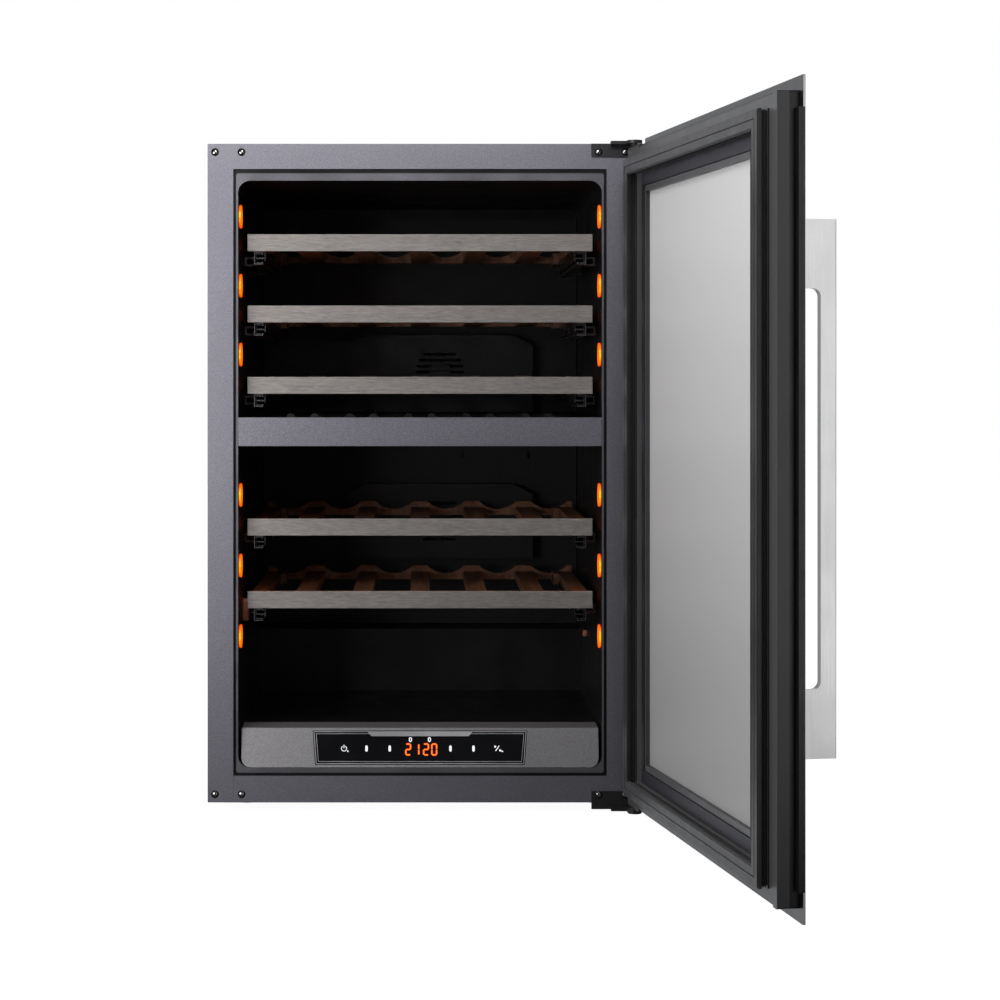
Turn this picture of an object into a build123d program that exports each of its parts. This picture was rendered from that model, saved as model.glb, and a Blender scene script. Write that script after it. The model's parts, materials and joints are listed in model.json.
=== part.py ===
from build123d import *
import math
import os

# Dual-zone built-in wine cooler with its glass door standing open on the right.
# Millimetres. +Z is up, the front faces -Y, and the origin is on the floor under the cabinet's middle.

# ---- cabinet
CABINET_WIDTH = 557.0
CABINET_HEIGHT = 863.5
CABINET_DEPTH = 540.0
FOOT_HEIGHT = 16.0
FOOT_INSET = (45.0, 100.0, 45.0)
FOOT_RADIUS = 19.0
FOOT_PAD = 7.0
FOOT_STUD = 4.0
FOOT_STUD_LENGTH = 9.0
SHEET = 1.0
SEAM_END = 3.0
SIDE_FLANGE = 33.7
TOP_FLANGE = 33.0
BOTTOM_FLANGE = 35.0

# ---- liner and zones, heights above the cabinet's underside
LINER_WALL = 2.0
SIDE_BORDER = 40.0
TOP_BORDER = 48.2
BOTTOM_BORDER = 45.3
LIP_SIDE = 2.5
LIP_TOP = 9.5
LIP_BOTTOM = 6.3
GROOVE_DEPTH = 4.0
LINER_FLANGE = (12.0, 10.0)
LINER_RADIUS = 16.0
LIP_CORNER = 3.0
REAR_FOAM = 68.0
FLOOR_HEIGHT = 92.0
DIVIDER_BOTTOM = 471.9
DIVIDER_HEIGHT = 32.8
DIVIDER_LIP = 4.6
DIVIDER_TRIM = 1.5
RIB_WIDTH = 12.0
RIB_HEIGHT = 5.0
RIB_OFFSET = 15.6
RIB_LENGTH = 120.0

# ---- machine room, behind the raised rear end of the liner floor
MACHINE_ROOM_DEPTH = 122.0
MACHINE_ROOM_HEIGHT = 155.0
MACHINE_ROOM_FOAM = 26.0

# ---- wine shelves
BOTTLE_PITCH = 77.25
UPPER_SHELF_START = 30.8
UPPER_SHELF_PITCH = 94.35
UPPER_SHELVES = 3
LOWER_SHELF_START = 119.3
LOWER_SHELF_PITCH = 96.1
LOWER_SHELVES = 2
SHELF_SIDE_GAP = 10.5
SHELF_SETBACK = 25.0
SHELF_REAR_GAP = 36.0
FASCIA_HEIGHT = 22.5
FASCIA_THICKNESS = 2.0
FASCIA_FOLD = 1.0
SLAT_WIDTH = 26.0
SLAT_THICKNESS = 12.0
RACK_CLEARANCE = 5.0
RACK_RAIL_DEPTH = 18.0
RACK_BLOCK = (8.0, 60.0)
SHELF_TRAVEL = 250.0

# ---- ball slides under each shelf
SLIDE_HEIGHT = 17.0
SLIDE_WIDTH = 12.0
SLIDE_STEEL = 1.2
SLIDE_CENTRE_INSET = 14.0
SLIDE_MEMBER_GAP = 0.6
SLIDE_REAR_GAP = 30.0
BRACKET_LENGTH = 30.0
BRACKET_SETBACK = 110.0

# ---- lamps
LAMP_RADIUS = 21.5
LAMP_BULGE = 12.3
LAMP_SEAT = 15.5
LAMP_SPIGOT = 14.0
LAMP_SETBACK = 32.0
UPPER_LAMP_DROP = 45.0
UPPER_LAMP_PITCH = 91.35
LOWER_LAMP_DROP = 70.4
LOWER_LAMP_PITCH = 93.5
LAMPS_PER_ZONE = 3
BOARD_THICKNESS = 1.6
BOARD_BEHIND = 2.5
DISPLAY_BOARD = (240.0, 34.0)

# ---- small gaps, and the places of the air sensors as setback and height
FIT_GAP = 0.3
FOAM_GAP = 0.2
LEFT_SENSOR = (90.0, 243.5)
RIGHT_SENSOR = (271.0, 191.0)
SENSOR_CAPSULE = (31.0, 13.0, 7.0)
SENSOR_BUTTON = 5.0

# ---- control housing at the bottom of the opening
HOUSING_SIDE_GAP = 4.0
HOUSING_DEPTH = 52.0
HOUSING_LEAN = 9.0
HOUSING_WALL = 2.5
HOUSING_RISE = 4.0
HOUSING_SETBACK = 3.0
DISPLAY_TOP_WIDTH = 282.0
DISPLAY_BOTTOM_WIDTH = 275.0
DISPLAY_HEIGHT = 44.0
DISPLAY_THICKNESS = 2.0

# ---- air ducts, evaporators and fans
DUCT_COVER_GAP = 20.0
DUCT_WALL = 2.0
DUCT_BUMP = 24.0
DUCT_BUMP_CENTRE = 30.0
DUCT_BUMP_WIDTH = 280.0
ZONE_FAN_SIZE = 80.0
ZONE_FAN_DEPTH = 20.0
UPPER_FAN_RISE = 62.0
LOWER_FAN_DROP = 130.0
DUCT_BUMP_MARGIN = 56.0
DUCT_SHOULDER = 30.0
DUCT_SLOT = (9.0, 4.5)
EVAPORATOR_WIDTH = 180.0
EVAPORATOR_HEIGHT = 110.0
EVAPORATOR_THICKNESS = 8.0
CONDENSER_FAN_SIZE = 106.0
CONDENSER_FAN_DEPTH = 26.0
FAN_PIN_RADIUS = 1.5
FAN_PIN_CLEARANCE = 0.05
FAN_BLADES = 7

# ---- refrigeration set
COMPRESSOR_WIDTH = 150.0
COMPRESSOR_DEPTH = 98.0
COMPRESSOR_HEIGHT = 112.0
COMPRESSOR_X = 0.0
GROMMET_HEIGHT = 8.0
GROMMET_RADIUS = 9.0
GROMMET_WAIST = 5.0
CONDENSER_X = -195.0
CONDENSER_WIDTH = 100.0
CONDENSER_SIZE = 96.0
CONDENSER_FINS = 16
PIPE_RADIUS = 3.0
PIPE_CLEARANCE = 2.0
PIPE_X = (105.0, 118.0)
INLET_X = 205.0
INLET_HEIGHT = 110.0
INLET_CUTOUT = (27.6, 20.0)
INLET_SCREW_PITCH = 40.0

# ---- door, measured in its closed place: T runs inwards from the outer face
DOOR_SIDE_LAP = 19.0
DOOR_DROP = 14.4
DOOR_RISE = 7.1
DOOR_STANDOFF = 42.0
PANEL_THICKNESS = 2.5
EDGE_TRIM_END = 33.8
EDGE_TRIM_THICKNESS = 1.5
EDGE_TRIM_HEIGHT = 5.0
PANEL_SKIN = 0.5
FRAME_DEPTH = 25.7
FRAME_SIDE_INSET = 9.0
FRAME_TOP_INSET = 15.3
FRAME_BOTTOM_INSET = 15.2
FRAME_CORNER = 2.0
REBATE = (3.4, 3.0)
REBATE_ENDS = (12.0, 49.5)
WINDOW_SIDE = 92.5
WINDOW_TOP = 77.9
WINDOW_BOTTOM = 80.4
PANE_THICKNESS = 4.0
PANE_SPACING = 12.0
PANE_LAP = 12.0
PANE_CLEARANCE = 0.5
BEZEL_SIDE = (3.0, 17.0)
BEZEL_END = (8.0, 25.0)
BEZEL_THICKNESS = 2.0
BEZEL_SEAT = 1.5
BEZEL_EDGE = 2.0
GASKET_INSET = 32.0
GASKET_WIDTH = 20.5
GASKET_PROUD = 13.5
GASKET_ROOT = 3.0
GASKET_DART = 3.6
GASKET_FOOT = 2.0
GASKET_CAP = 5.0
GASKET_WAIST = 15.0
GASKET_RIB = (18.0, 1.2)
GASKET_LINE = 1.6
DOOR_OPEN_DEG = 100.0

# ---- door hinges
PIVOT_FROM_EDGE = 18.2
PIVOT_FROM_FACE = 21.7
HINGE_PLATE_WIDTH = 52.0
HINGE_PLATE_THICKNESS = 2.5
TOP_PLATE_HEIGHT = 15.5
BOTTOM_PLATE_HEIGHT = 15.2
TOP_ARM_DROP = 2.0
ARM_THICKNESS = 4.1
BOTTOM_ARM_GAP = 3.0
BOTTOM_ARM_THICKNESS = 5.3
ARM_RADIUS = 10.0
PIN_RADIUS = 3.5
PIN_CLEARANCE = 0.05
PIN_LENGTH = 17.0
BUSH_RADIUS = 5.2
BUSH_DEPTH = 14.0
BUSH_PLATE = (46.0, 12.0, 2.0)
BUSH_PLATE_END = 8.4
SCREW_RADIUS = 2.0
SCREW_CLEARANCE = 0.4
SCREW_LENGTH = 10.0
SCREW_HEAD_RADIUS = 5.2
SCREW_HEAD_HEIGHT = 2.6
SCREW_FROM_SIDE = (9.8, 44.5)
TOP_SCREW_DROP = 10.9
BOTTOM_SCREW_RISE = 10.8

# ---- handle
HANDLE_FROM_FREE_EDGE = 17.0
HANDLE_WIDTH = 10.0
HANDLE_PROJECTION = 40.4
HANDLE_LENGTH = 566.5
HANDLE_BOTTOM = 169.4
HANDLE_FOOT = 72.5
HANDLE_GRIP = 17.5
HANDLE_SLOT_RADIUS = 9.0
HANDLE_SCREW_RADIUS = 2.5

# ---- places worked out from the sizes above
FRONT = -CABINET_DEPTH / 2
REAR = CABINET_DEPTH / 2
SIDE = CABINET_WIDTH / 2
BASE = FOOT_HEIGHT
TOP = BASE + CABINET_HEIGHT
LINER_X = SIDE - SIDE_BORDER
LINER_Z = (BASE + BOTTOM_BORDER, TOP - TOP_BORDER)
LINER_BACK = REAR - REAR_FOAM
FLOOR = BASE + FLOOR_HEIGHT
MACHINE_ROOM_FRONT = REAR - SHEET - MACHINE_ROOM_DEPTH
MACHINE_ROOM_TOP = BASE + MACHINE_ROOM_HEIGHT
HUMP_FRONT = MACHINE_ROOM_FRONT - SHEET - MACHINE_ROOM_FOAM - LINER_WALL
HUMP_TOP = MACHINE_ROOM_TOP + SHEET + MACHINE_ROOM_FOAM + LINER_WALL
DIVIDER_Z = (BASE + DIVIDER_BOTTOM, BASE + DIVIDER_BOTTOM + DIVIDER_HEIGHT)
SHELF_X = LINER_X - SHELF_SIDE_GAP
SHELF_FRONT = FRONT + SHELF_SETBACK
SHELF_BACK = LINER_BACK - DUCT_COVER_GAP - SHELF_REAR_GAP
SLIDE_X = SHELF_X - SLIDE_CENTRE_INSET
SLIDE_BACK = SHELF_BACK - SLIDE_REAR_GAP
DUCT_FACE = LINER_BACK - DUCT_COVER_GAP
DOOR_FACE = FRONT - DOOR_STANDOFF
DOOR_WIDTH = CABINET_WIDTH + 2 * DOOR_SIDE_LAP
DOOR_X = DOOR_WIDTH / 2
DOOR_Z = (BASE - DOOR_DROP, TOP + DOOR_RISE)
PIVOT = (DOOR_X - PIVOT_FROM_EDGE, DOOR_FACE + PIVOT_FROM_FACE)
FRAME_X = DOOR_X - FRAME_SIDE_INSET
FRAME_Z = (DOOR_Z[0] + FRAME_BOTTOM_INSET, DOOR_Z[1] - FRAME_TOP_INSET)
FRAME_INNER_FACE = DOOR_FACE + PANEL_THICKNESS + FRAME_DEPTH
WINDOW_X = DOOR_X - WINDOW_SIDE
WINDOW_Z = (DOOR_Z[0] + WINDOW_BOTTOM, DOOR_Z[1] - WINDOW_TOP)
SCREW_X = [SIDE - inset for inset in SCREW_FROM_SIDE]
SCREW_Z = (BASE + BOTTOM_SCREW_RISE, TOP - TOP_SCREW_DROP)
UPPER_SHELF_Z = [DIVIDER_Z[1] + UPPER_SHELF_START + n * UPPER_SHELF_PITCH for n in range(UPPER_SHELVES)]
LOWER_SHELF_TOP = DIVIDER_Z[0] - DIVIDER_LIP - LOWER_SHELF_START
LOWER_SHELF_Z = [LOWER_SHELF_TOP - n * LOWER_SHELF_PITCH for n in range(LOWER_SHELVES)]
SHELF_Z = sorted(UPPER_SHELF_Z + LOWER_SHELF_Z, reverse=True)
UPPER_LAMP_Z = [LINER_Z[1] - UPPER_LAMP_DROP - n * UPPER_LAMP_PITCH for n in range(LAMPS_PER_ZONE)]
LOWER_LAMP_Z = [DIVIDER_Z[0] - LOWER_LAMP_DROP - n * LOWER_LAMP_PITCH for n in range(LAMPS_PER_ZONE)]
UPPER_FAN_Z = DIVIDER_Z[1] + UPPER_FAN_RISE
LOWER_FAN_Z = DIVIDER_Z[0] - LOWER_FAN_DROP
HOUSING_TOP = FLOOR + HOUSING_RISE
HOUSING_FACE = FRONT + HOUSING_SETBACK


# ---- shapes used again and again
def block(x, y, z):
    """Box between two corners: each axis is its low and high value."""
    spans = (x, y, z)
    centre = [(low + high) / 2 for low, high in spans]
    return Pos(*centre) * Box(*[high - low for low, high in spans])


def rectangle(across, up, radius=0.0):
    """Flat rectangle between two corners, with round corners if a radius is given."""
    width, height = across[1] - across[0], up[1] - up[0]
    shape = RectangleRounded(width, height, radius) if radius else Rectangle(width, height)
    return Pos(sum(across) / 2, sum(up) / 2) * shape


def along_y(sketch, y):
    """Extrude a sketch drawn in X and Z from y[0] to y[1]."""
    return Pos(0, y[1], 0) * extrude(Plane.XZ * sketch, amount=y[1] - y[0])


def along_x(sketch, x):
    """Extrude a sketch drawn in Y and Z from x[0] to x[1]."""
    return Pos(x[0], 0, 0) * extrude(Plane.YZ * sketch, amount=x[1] - x[0])


def along_z(sketch, z):
    """Extrude a sketch drawn in X and Y from z[0] to z[1]."""
    return Pos(0, 0, z[0]) * extrude(sketch, amount=z[1] - z[0])


def rod(radius, x, y, z):
    """Cylinder along the one axis that is given as a low and high value."""
    if isinstance(x, tuple):
        return along_x(Pos(y, z) * Circle(radius), x)
    if isinstance(y, tuple):
        return along_y(Pos(x, z) * Circle(radius), y)
    return along_z(Pos(x, y) * Circle(radius), z)


def mirrored(*shapes):
    """The shapes and their copies on the other side of the cabinet's middle."""
    return list(shapes) + [mirror(shape, Plane.YZ) for shape in shapes]


def grid(centre, pitch, count):
    """Evenly spaced values about a centre."""
    return [centre + pitch * (n - (count - 1) / 2) for n in range(count)]


def save(name, shapes):
    """Write one named sub-part, as separate solids where it has several."""
    shapes = shapes if isinstance(shapes, list) else [shapes]
    solids = [solid for shape in shapes for solid in shape.solids()]
    export_step(solids[0] if len(solids) == 1 else Compound(solids), f"parts/{name}.step")


# ---- cabinet shell
def screw_places():
    return [(side * x, z) for side in (-1, 1) for x in SCREW_X for z in SCREW_Z]


def screw_holes(radius, depth):
    return [rod(radius, x, (FRONT - SHEET, FRONT + depth), z) for x, z in screw_places()]


def cabinet_wrap():
    """Folded sheet: two sides, the top and the flanges round the opening, with seams at the corners."""
    outer = block((-SIDE, SIDE), (FRONT, REAR), (BASE, TOP))
    inner = block((SHEET - SIDE, SIDE - SHEET), (FRONT + SHEET, REAR + SHEET), (BASE - SHEET, TOP - SHEET))
    opening_x = SIDE - SIDE_FLANGE
    mouth_y = (FRONT - SHEET, FRONT + 2 * SHEET)
    mouth = block((-opening_x, opening_x), mouth_y, (BASE - SHEET, TOP - TOP_FLANGE))
    wrap = outer - inner - mouth
    length = math.hypot(SIDE_FLANGE, TOP_FLANGE) - 2 * SEAM_END
    slope = math.degrees(math.atan2(TOP_FLANGE, SIDE_FLANGE))
    seam = Box(length, SHEET, SHEET / 2)
    seam = Pos(-SIDE + SIDE_FLANGE / 2, FRONT, TOP - TOP_FLANGE / 2) * Rot(0, slope, 0) * seam
    return wrap - mirrored(seam) - screw_holes(SCREW_RADIUS + SCREW_CLEARANCE, SCREW_LENGTH)


def base_pan():
    """Bottom sheet with the front rail, stepped up and back over the machine room."""
    side = SIDE - SHEET - 0.1
    rail_side = SIDE - SIDE_FLANGE - 0.2
    rail = block((-rail_side, rail_side), (FRONT, FRONT + SHEET), (BASE, BASE + BOTTOM_FLANGE))
    bottom = block((-side, side), (FRONT + 2 * SHEET, MACHINE_ROOM_FRONT), (BASE, BASE + SHEET))
    toe = block((-rail_side, rail_side), (FRONT, FRONT + 3 * SHEET), (BASE, BASE + SHEET))
    step_y = (MACHINE_ROOM_FRONT - SHEET, MACHINE_ROOM_FRONT)
    step = block((-side, side), step_y, (BASE, MACHINE_ROOM_TOP + SHEET))
    roof_y = (MACHINE_ROOM_FRONT - SHEET, REAR - SHEET - 0.1)
    roof = block((-side, side), roof_y, (MACHINE_ROOM_TOP, MACHINE_ROOM_TOP + SHEET))
    pan = rail + bottom + toe + step + roof
    feet = [rod(FOOT_STUD + 0.3, x, y, (BASE - SHEET, BASE + 2 * SHEET)) for x, y in foot_places() if y < 0]
    return pan - feet - pipe_holes() - screw_holes(SCREW_RADIUS + SCREW_CLEARANCE, SCREW_LENGTH)


def compressor_plate():
    """Cross plate that carries the refrigeration set, folded up at its ends."""
    side = SIDE - SHEET - 0.1
    y = (MACHINE_ROOM_FRONT + 3, REAR - SHEET - 3)
    plate = block((-side, side), y, (BASE, BASE + 2 * SHEET))
    ends = mirrored(block((side - 2 * SHEET, side), y, (BASE, BASE + 20)))
    slots = [along_z(Pos(x, sum(y) / 2) * SlotOverall(60, 12), (BASE - 1, BASE + 5)) for x in (-125, 125)]
    holes = [rod(FOOT_STUD + 0.3, x, y, (BASE - SHEET, BASE + 3 * SHEET)) for x, y in foot_places() if y > 0]
    holes += [rod(GROMMET_WAIST, x, y, (BASE - 1, BASE + 5)) for x, y in grommet_places()]
    return plate + ends - slots - holes


def foot_places():
    x = SIDE - FOOT_INSET[0]
    return [(sx * x, y) for sx in (-1, 1) for y in (FRONT + FOOT_INSET[1], REAR - FOOT_INSET[2])]


def levelling_feet():
    """Threaded feet: a wide pad, a hexagon to turn it by and a stud up through the base."""
    feet = []
    for x, y in foot_places():
        pad = Pos(x, y, FOOT_PAD / 2) * Cone(FOOT_RADIUS, FOOT_RADIUS - 3, FOOT_PAD)
        nut = along_z(Pos(x, y) * RegularPolygon(9.0, 6), (FOOT_PAD, FOOT_HEIGHT))
        stud = rod(FOOT_STUD, x, y, (FOOT_HEIGHT, FOOT_HEIGHT + FOOT_STUD_LENGTH))
        feet.append(pad + nut + stud)
    return feet


def rear_panel():
    """Upper back sheet, with a shallow pressed border."""
    side = SIDE - SHEET - 0.1
    z = (MACHINE_ROOM_TOP + SHEET + 0.1, TOP - SHEET - 0.1)
    sheet = block((-side, side), (REAR - SHEET, REAR), z)
    margin = 40.0
    outline = rectangle((margin - side, side - margin), (z[0] + margin, z[1] - margin), 12)
    field = along_y(outline, (REAR - 0.4, REAR + 1))
    return sheet - field


def machine_room_cover():
    """Lower back sheet with rows of louvre slots and the cut-out for the power inlet."""
    side = SIDE - SHEET - 0.1
    sheet = block((-side, side), (REAR - SHEET, REAR), (BASE, MACHINE_ROOM_TOP + SHEET))
    slots = Sketch()
    for x in grid(-70, 95, 4):
        for z in grid(BASE + MACHINE_ROOM_HEIGHT / 2, 14, 8):
            slots += Pos(x, z) * SlotOverall(80, 5)
    inlet_x = (INLET_X - INLET_CUTOUT[0] / 2, INLET_X + INLET_CUTOUT[0] / 2)
    inlet = rectangle(inlet_x, inlet_span(INLET_CUTOUT[1]))
    screws = Sketch()
    for x in grid(INLET_X, INLET_SCREW_PITCH, 2):
        screws += Pos(x, BASE + INLET_HEIGHT) * Circle(1.8)
    return sheet - along_y(slots + inlet + screws, (REAR - 5, REAR + 5))


def inlet_span(height):
    return (BASE + INLET_HEIGHT - height / 2, BASE + INLET_HEIGHT + height / 2)


# ---- insulated inside
def liner_space(grow):
    """The liner's inside, grown outwards by a wall: an upright tub with a raised floor and a rear hump."""
    x = LINER_X + grow
    z = (LINER_Z[0] - grow, LINER_Z[1] + grow)
    tub = along_y(rectangle((-x, x), z, LINER_RADIUS + grow), (FRONT - SHEET, LINER_BACK + grow))
    floor_y = (FRONT + HOUSING_DEPTH + HOUSING_LEAN + HOUSING_RISE + grow, REAR)
    floor = block((-SIDE, SIDE), floor_y, (BASE, FLOOR - grow))
    hump = block((-SIDE, SIDE), (HUMP_FRONT + grow, REAR), (BASE, HUMP_TOP - grow))
    return tub - floor - hump


def inner_liner():
    """Formed plastic tub with a raised lip round its mouth and a flange behind the cabinet's flanges."""
    lip_x = LINER_X + LIP_SIDE
    lip_z = (LINER_Z[0] - LIP_BOTTOM, LINER_Z[1] + LIP_TOP)
    lip_y = (FRONT + FIT_GAP, FRONT + GROOVE_DEPTH + LINER_WALL)
    lip = along_y(rectangle((-lip_x, lip_x), lip_z, LIP_CORNER), lip_y)
    flange_x = SIDE - SIDE_FLANGE + LINER_FLANGE[0]
    flange_z = (BASE + BOTTOM_FLANGE - LINER_FLANGE[1], TOP - TOP_FLANGE + LINER_FLANGE[0])
    flange_y = (FRONT + GROOVE_DEPTH, FRONT + GROOVE_DEPTH + LINER_WALL)
    flange = along_y(rectangle((-flange_x, flange_x), flange_z), flange_y)
    shell = liner_space(LINER_WALL)
    shell -= block((-SIDE, SIDE), (FRONT - 5, FRONT + GROOVE_DEPTH), (BASE, TOP))
    liner = shell + lip + flange - liner_space(0)
    return liner - lamp_holes(LAMP_SPIGOT + FIT_GAP) - liner_pipe_holes()


def lamp_holes(radius):
    holes = []
    for z in UPPER_LAMP_Z + LOWER_LAMP_Z:
        holes += mirrored(rod(radius, (LINER_X - 1, LINER_X + LINER_WALL + 1), FRONT + LAMP_SETBACK, z))
    return holes


def insulation_foam():
    """Foam filling between the outer sheets and the liner, with pockets for what is let into it."""
    gap = SHEET + FOAM_GAP
    foam = block((gap - SIDE, SIDE - gap), (FRONT + gap, REAR - gap), (BASE + gap, TOP - gap))
    foam -= liner_space(LINER_WALL + FOAM_GAP)
    groove_x = SIDE - SIDE_FLANGE + LINER_FLANGE[0] + FOAM_GAP
    groove_low = BASE + BOTTOM_FLANGE - LINER_FLANGE[1] - FOAM_GAP
    groove_z = (groove_low, TOP - TOP_FLANGE + LINER_FLANGE[0] + FOAM_GAP)
    foam -= block((-groove_x, groove_x), (FRONT, FRONT + GROOVE_DEPTH + LINER_WALL + FOAM_GAP), groove_z)
    foam -= block((-SIDE, SIDE), (MACHINE_ROOM_FRONT - gap, REAR), (BASE, MACHINE_ROOM_TOP + gap))
    for z in UPPER_LAMP_Z + LOWER_LAMP_Z:
        pocket = rod(LAMP_SPIGOT + 1.5, (LINER_X, LINER_X + LINER_WALL + 8), FRONT + LAMP_SETBACK, z)
        foam -= mirrored(pocket)
    foam -= screw_holes(SCREW_RADIUS + SCREW_CLEARANCE, SCREW_LENGTH + 4)
    foam -= [rod(FOOT_STUD + 1, x, y, (BASE, BASE + 20)) for x, y in foot_places() if y < 0]
    return foam - pipe_channels()


def zone_divider():
    """Insulated floor between the zones, with half-round ribs at its front edge that keep bottles apart."""
    x = LINER_X - 0.3
    y = (FRONT + 2.0, DUCT_FACE - DUCT_BUMP - 1)
    body = block((-x, x), y, DIVIDER_Z)
    lip = block((-x, x), (y[0], y[0] + 14), (DIVIDER_Z[0] - DIVIDER_LIP, DIVIDER_Z[0]))
    divider = body + lip
    count = int((2 * LINER_X) / BOTTLE_PITCH) - 1
    for middle in grid(0, BOTTLE_PITCH, count):
        for rib_x in (middle - RIB_OFFSET, middle + RIB_OFFSET):
            arc_radius = (RIB_WIDTH**2 / 4 + RIB_HEIGHT**2) / (2 * RIB_HEIGHT)
            rib_z = DIVIDER_Z[1] + RIB_HEIGHT - arc_radius
            rib = rod(arc_radius, rib_x, (y[0] + 10, y[0] + 10 + RIB_LENGTH), rib_z)
            above = block((rib_x - RIB_WIDTH, rib_x + RIB_WIDTH), y, (DIVIDER_Z[1], DIVIDER_Z[1] + RIB_WIDTH))
            divider += rib & above
    return divider


def divider_trim():
    """Textured metal strip that faces the divider."""
    x = LINER_X - 0.3
    face = block((-x, x), (FRONT + 0.4, FRONT + 0.4 + DIVIDER_TRIM), DIVIDER_Z)
    lower_z = (DIVIDER_Z[0] - DIVIDER_LIP, DIVIDER_Z[0])
    lower = block((-x, x), (FRONT + 1.0, FRONT + 0.4 + DIVIDER_TRIM), lower_z)
    return face + lower


# ---- lamps and boards
def lamp_lenses():
    """Amber lenses on the side walls: oval domes, each on a round seat with a spigot through the liner."""
    oval = scale(Sphere(LAMP_RADIUS), by=(LAMP_BULGE / 2 / LAMP_RADIUS, 1, 1))
    middle = LINER_X - LAMP_BULGE / 2 - FIT_GAP
    lenses = []
    for z in UPPER_LAMP_Z + LOWER_LAMP_Z:
        seat = rod(LAMP_SEAT, (middle, LINER_X), FRONT + LAMP_SETBACK, z)
        spigot = rod(LAMP_SPIGOT, (LINER_X - 1, LINER_X + LINER_WALL + 1), FRONT + LAMP_SETBACK, z)
        lens = Pos(middle, FRONT + LAMP_SETBACK, z) * oval & block((0, LINER_X), (FRONT, 0), (0, TOP))
        lenses += mirrored(lens + seat + spigot)
    return lenses


def circuit_boards():
    """The lamps' round boards, the control board behind the display and the zones' driver board."""
    boards = []
    x = LINER_X + LINER_WALL + BOARD_BEHIND
    for z in UPPER_LAMP_Z + LOWER_LAMP_Z:
        disc = rod(LAMP_SPIGOT - 1, (x, x + BOARD_THICKNESS), FRONT + LAMP_SETBACK, z)
        chip = block((x - 1, x), (FRONT + LAMP_SETBACK - 2.5, FRONT + LAMP_SETBACK + 2.5), (z - 2.5, z + 2.5))
        boards += mirrored(disc + chip)
    wide, high = DISPLAY_BOARD
    board = Pos(0, BOARD_THICKNESS / 2, 0) * Box(wide, BOARD_THICKNESS, high)
    return boards + [on_housing_face(board, HOUSING_WALL + HOUSING_SETBACK)]


# ---- control housing
def housing_lean():
    return math.degrees(math.atan2(HOUSING_LEAN, HOUSING_TOP - LINER_Z[0]))


def on_housing_face(shape, inwards):
    """Set a shape drawn about the origin on the leaning front face, so far behind its surface."""
    middle_z = (LINER_Z[0] + HOUSING_TOP) / 2
    lean = Rot(-housing_lean(), 0, 0)
    return Pos(0, HOUSING_FACE + HOUSING_LEAN / 2, middle_z) * lean * Pos(0, inwards, 0) * shape


def housing_profile(wall):
    """Side view of the housing: a face that leans back, a level top and an open underside."""
    low, high = LINER_Z[0] + FIT_GAP, HOUSING_TOP
    back = FRONT + HOUSING_DEPTH + HOUSING_LEAN
    points = [
        (HOUSING_FACE + wall, low - wall),
        (HOUSING_FACE + HOUSING_LEAN + wall, high - wall),
        (back - wall, high - wall),
        (back - wall, low - wall),
    ]
    return make_face(Polyline(*points, close=True))


def control_housing():
    """Hollow cover under the lower zone with a leaning face and rounded lower corners."""
    x = LINER_X - HOUSING_SIDE_GAP
    inside = x - HOUSING_WALL
    shell = along_x(housing_profile(0), (-x, x)) - along_x(housing_profile(HOUSING_WALL), (-inside, inside))
    low = LINER_Z[0] + FIT_GAP
    outline = rectangle((-x, x), (low, low + 2 * HOUSING_DEPTH), LINER_RADIUS - HOUSING_SIDE_GAP)
    corner = along_y(outline, (FRONT, 0))
    return (shell & corner) - on_housing_face(display_plate(FIT_GAP), -1)


def display_plate(grow):
    """Tapered display outline, drawn about the origin with its outer face at Y = 0."""
    half = DISPLAY_HEIGHT / 2 + grow
    top, bottom = DISPLAY_TOP_WIDTH / 2 + grow, DISPLAY_BOTTOM_WIDTH / 2 + grow
    outline = make_face(Polyline((-bottom, -half), (bottom, -half), (top, half), (-top, half), close=True))
    return along_y(outline, (0, DISPLAY_THICKNESS + 1 if grow else DISPLAY_THICKNESS))


def display_window():
    return on_housing_face(display_plate(0), 0)


# ---- sensors
def sensor_covers():
    """Covers of the air sensors: a capsule on the left wall, a button on the right wall further back."""
    length, width, proud = SENSOR_CAPSULE
    place = Pos(FRONT + LEFT_SENSOR[0], BASE + LEFT_SENSOR[1]) * Rot(0, 0, 90)
    capsule = along_x(place * SlotOverall(length, width), (-LINER_X, proud - LINER_X))
    capsule = fillet(capsule.faces().sort_by(Axis.X)[-1].edges(), width / 4)
    place = (FRONT + RIGHT_SENSOR[0], BASE + RIGHT_SENSOR[1])
    button = rod(SENSOR_BUTTON, (LINER_X - SENSOR_BUTTON, LINER_X), *place)
    return [capsule, fillet(button.faces().sort_by(Axis.X)[0].edges(), SENSOR_BUTTON / 3)]


# ---- shelves
def slide_z(shelf):
    return (shelf - SLIDE_HEIGHT, shelf - 0.5)


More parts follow.
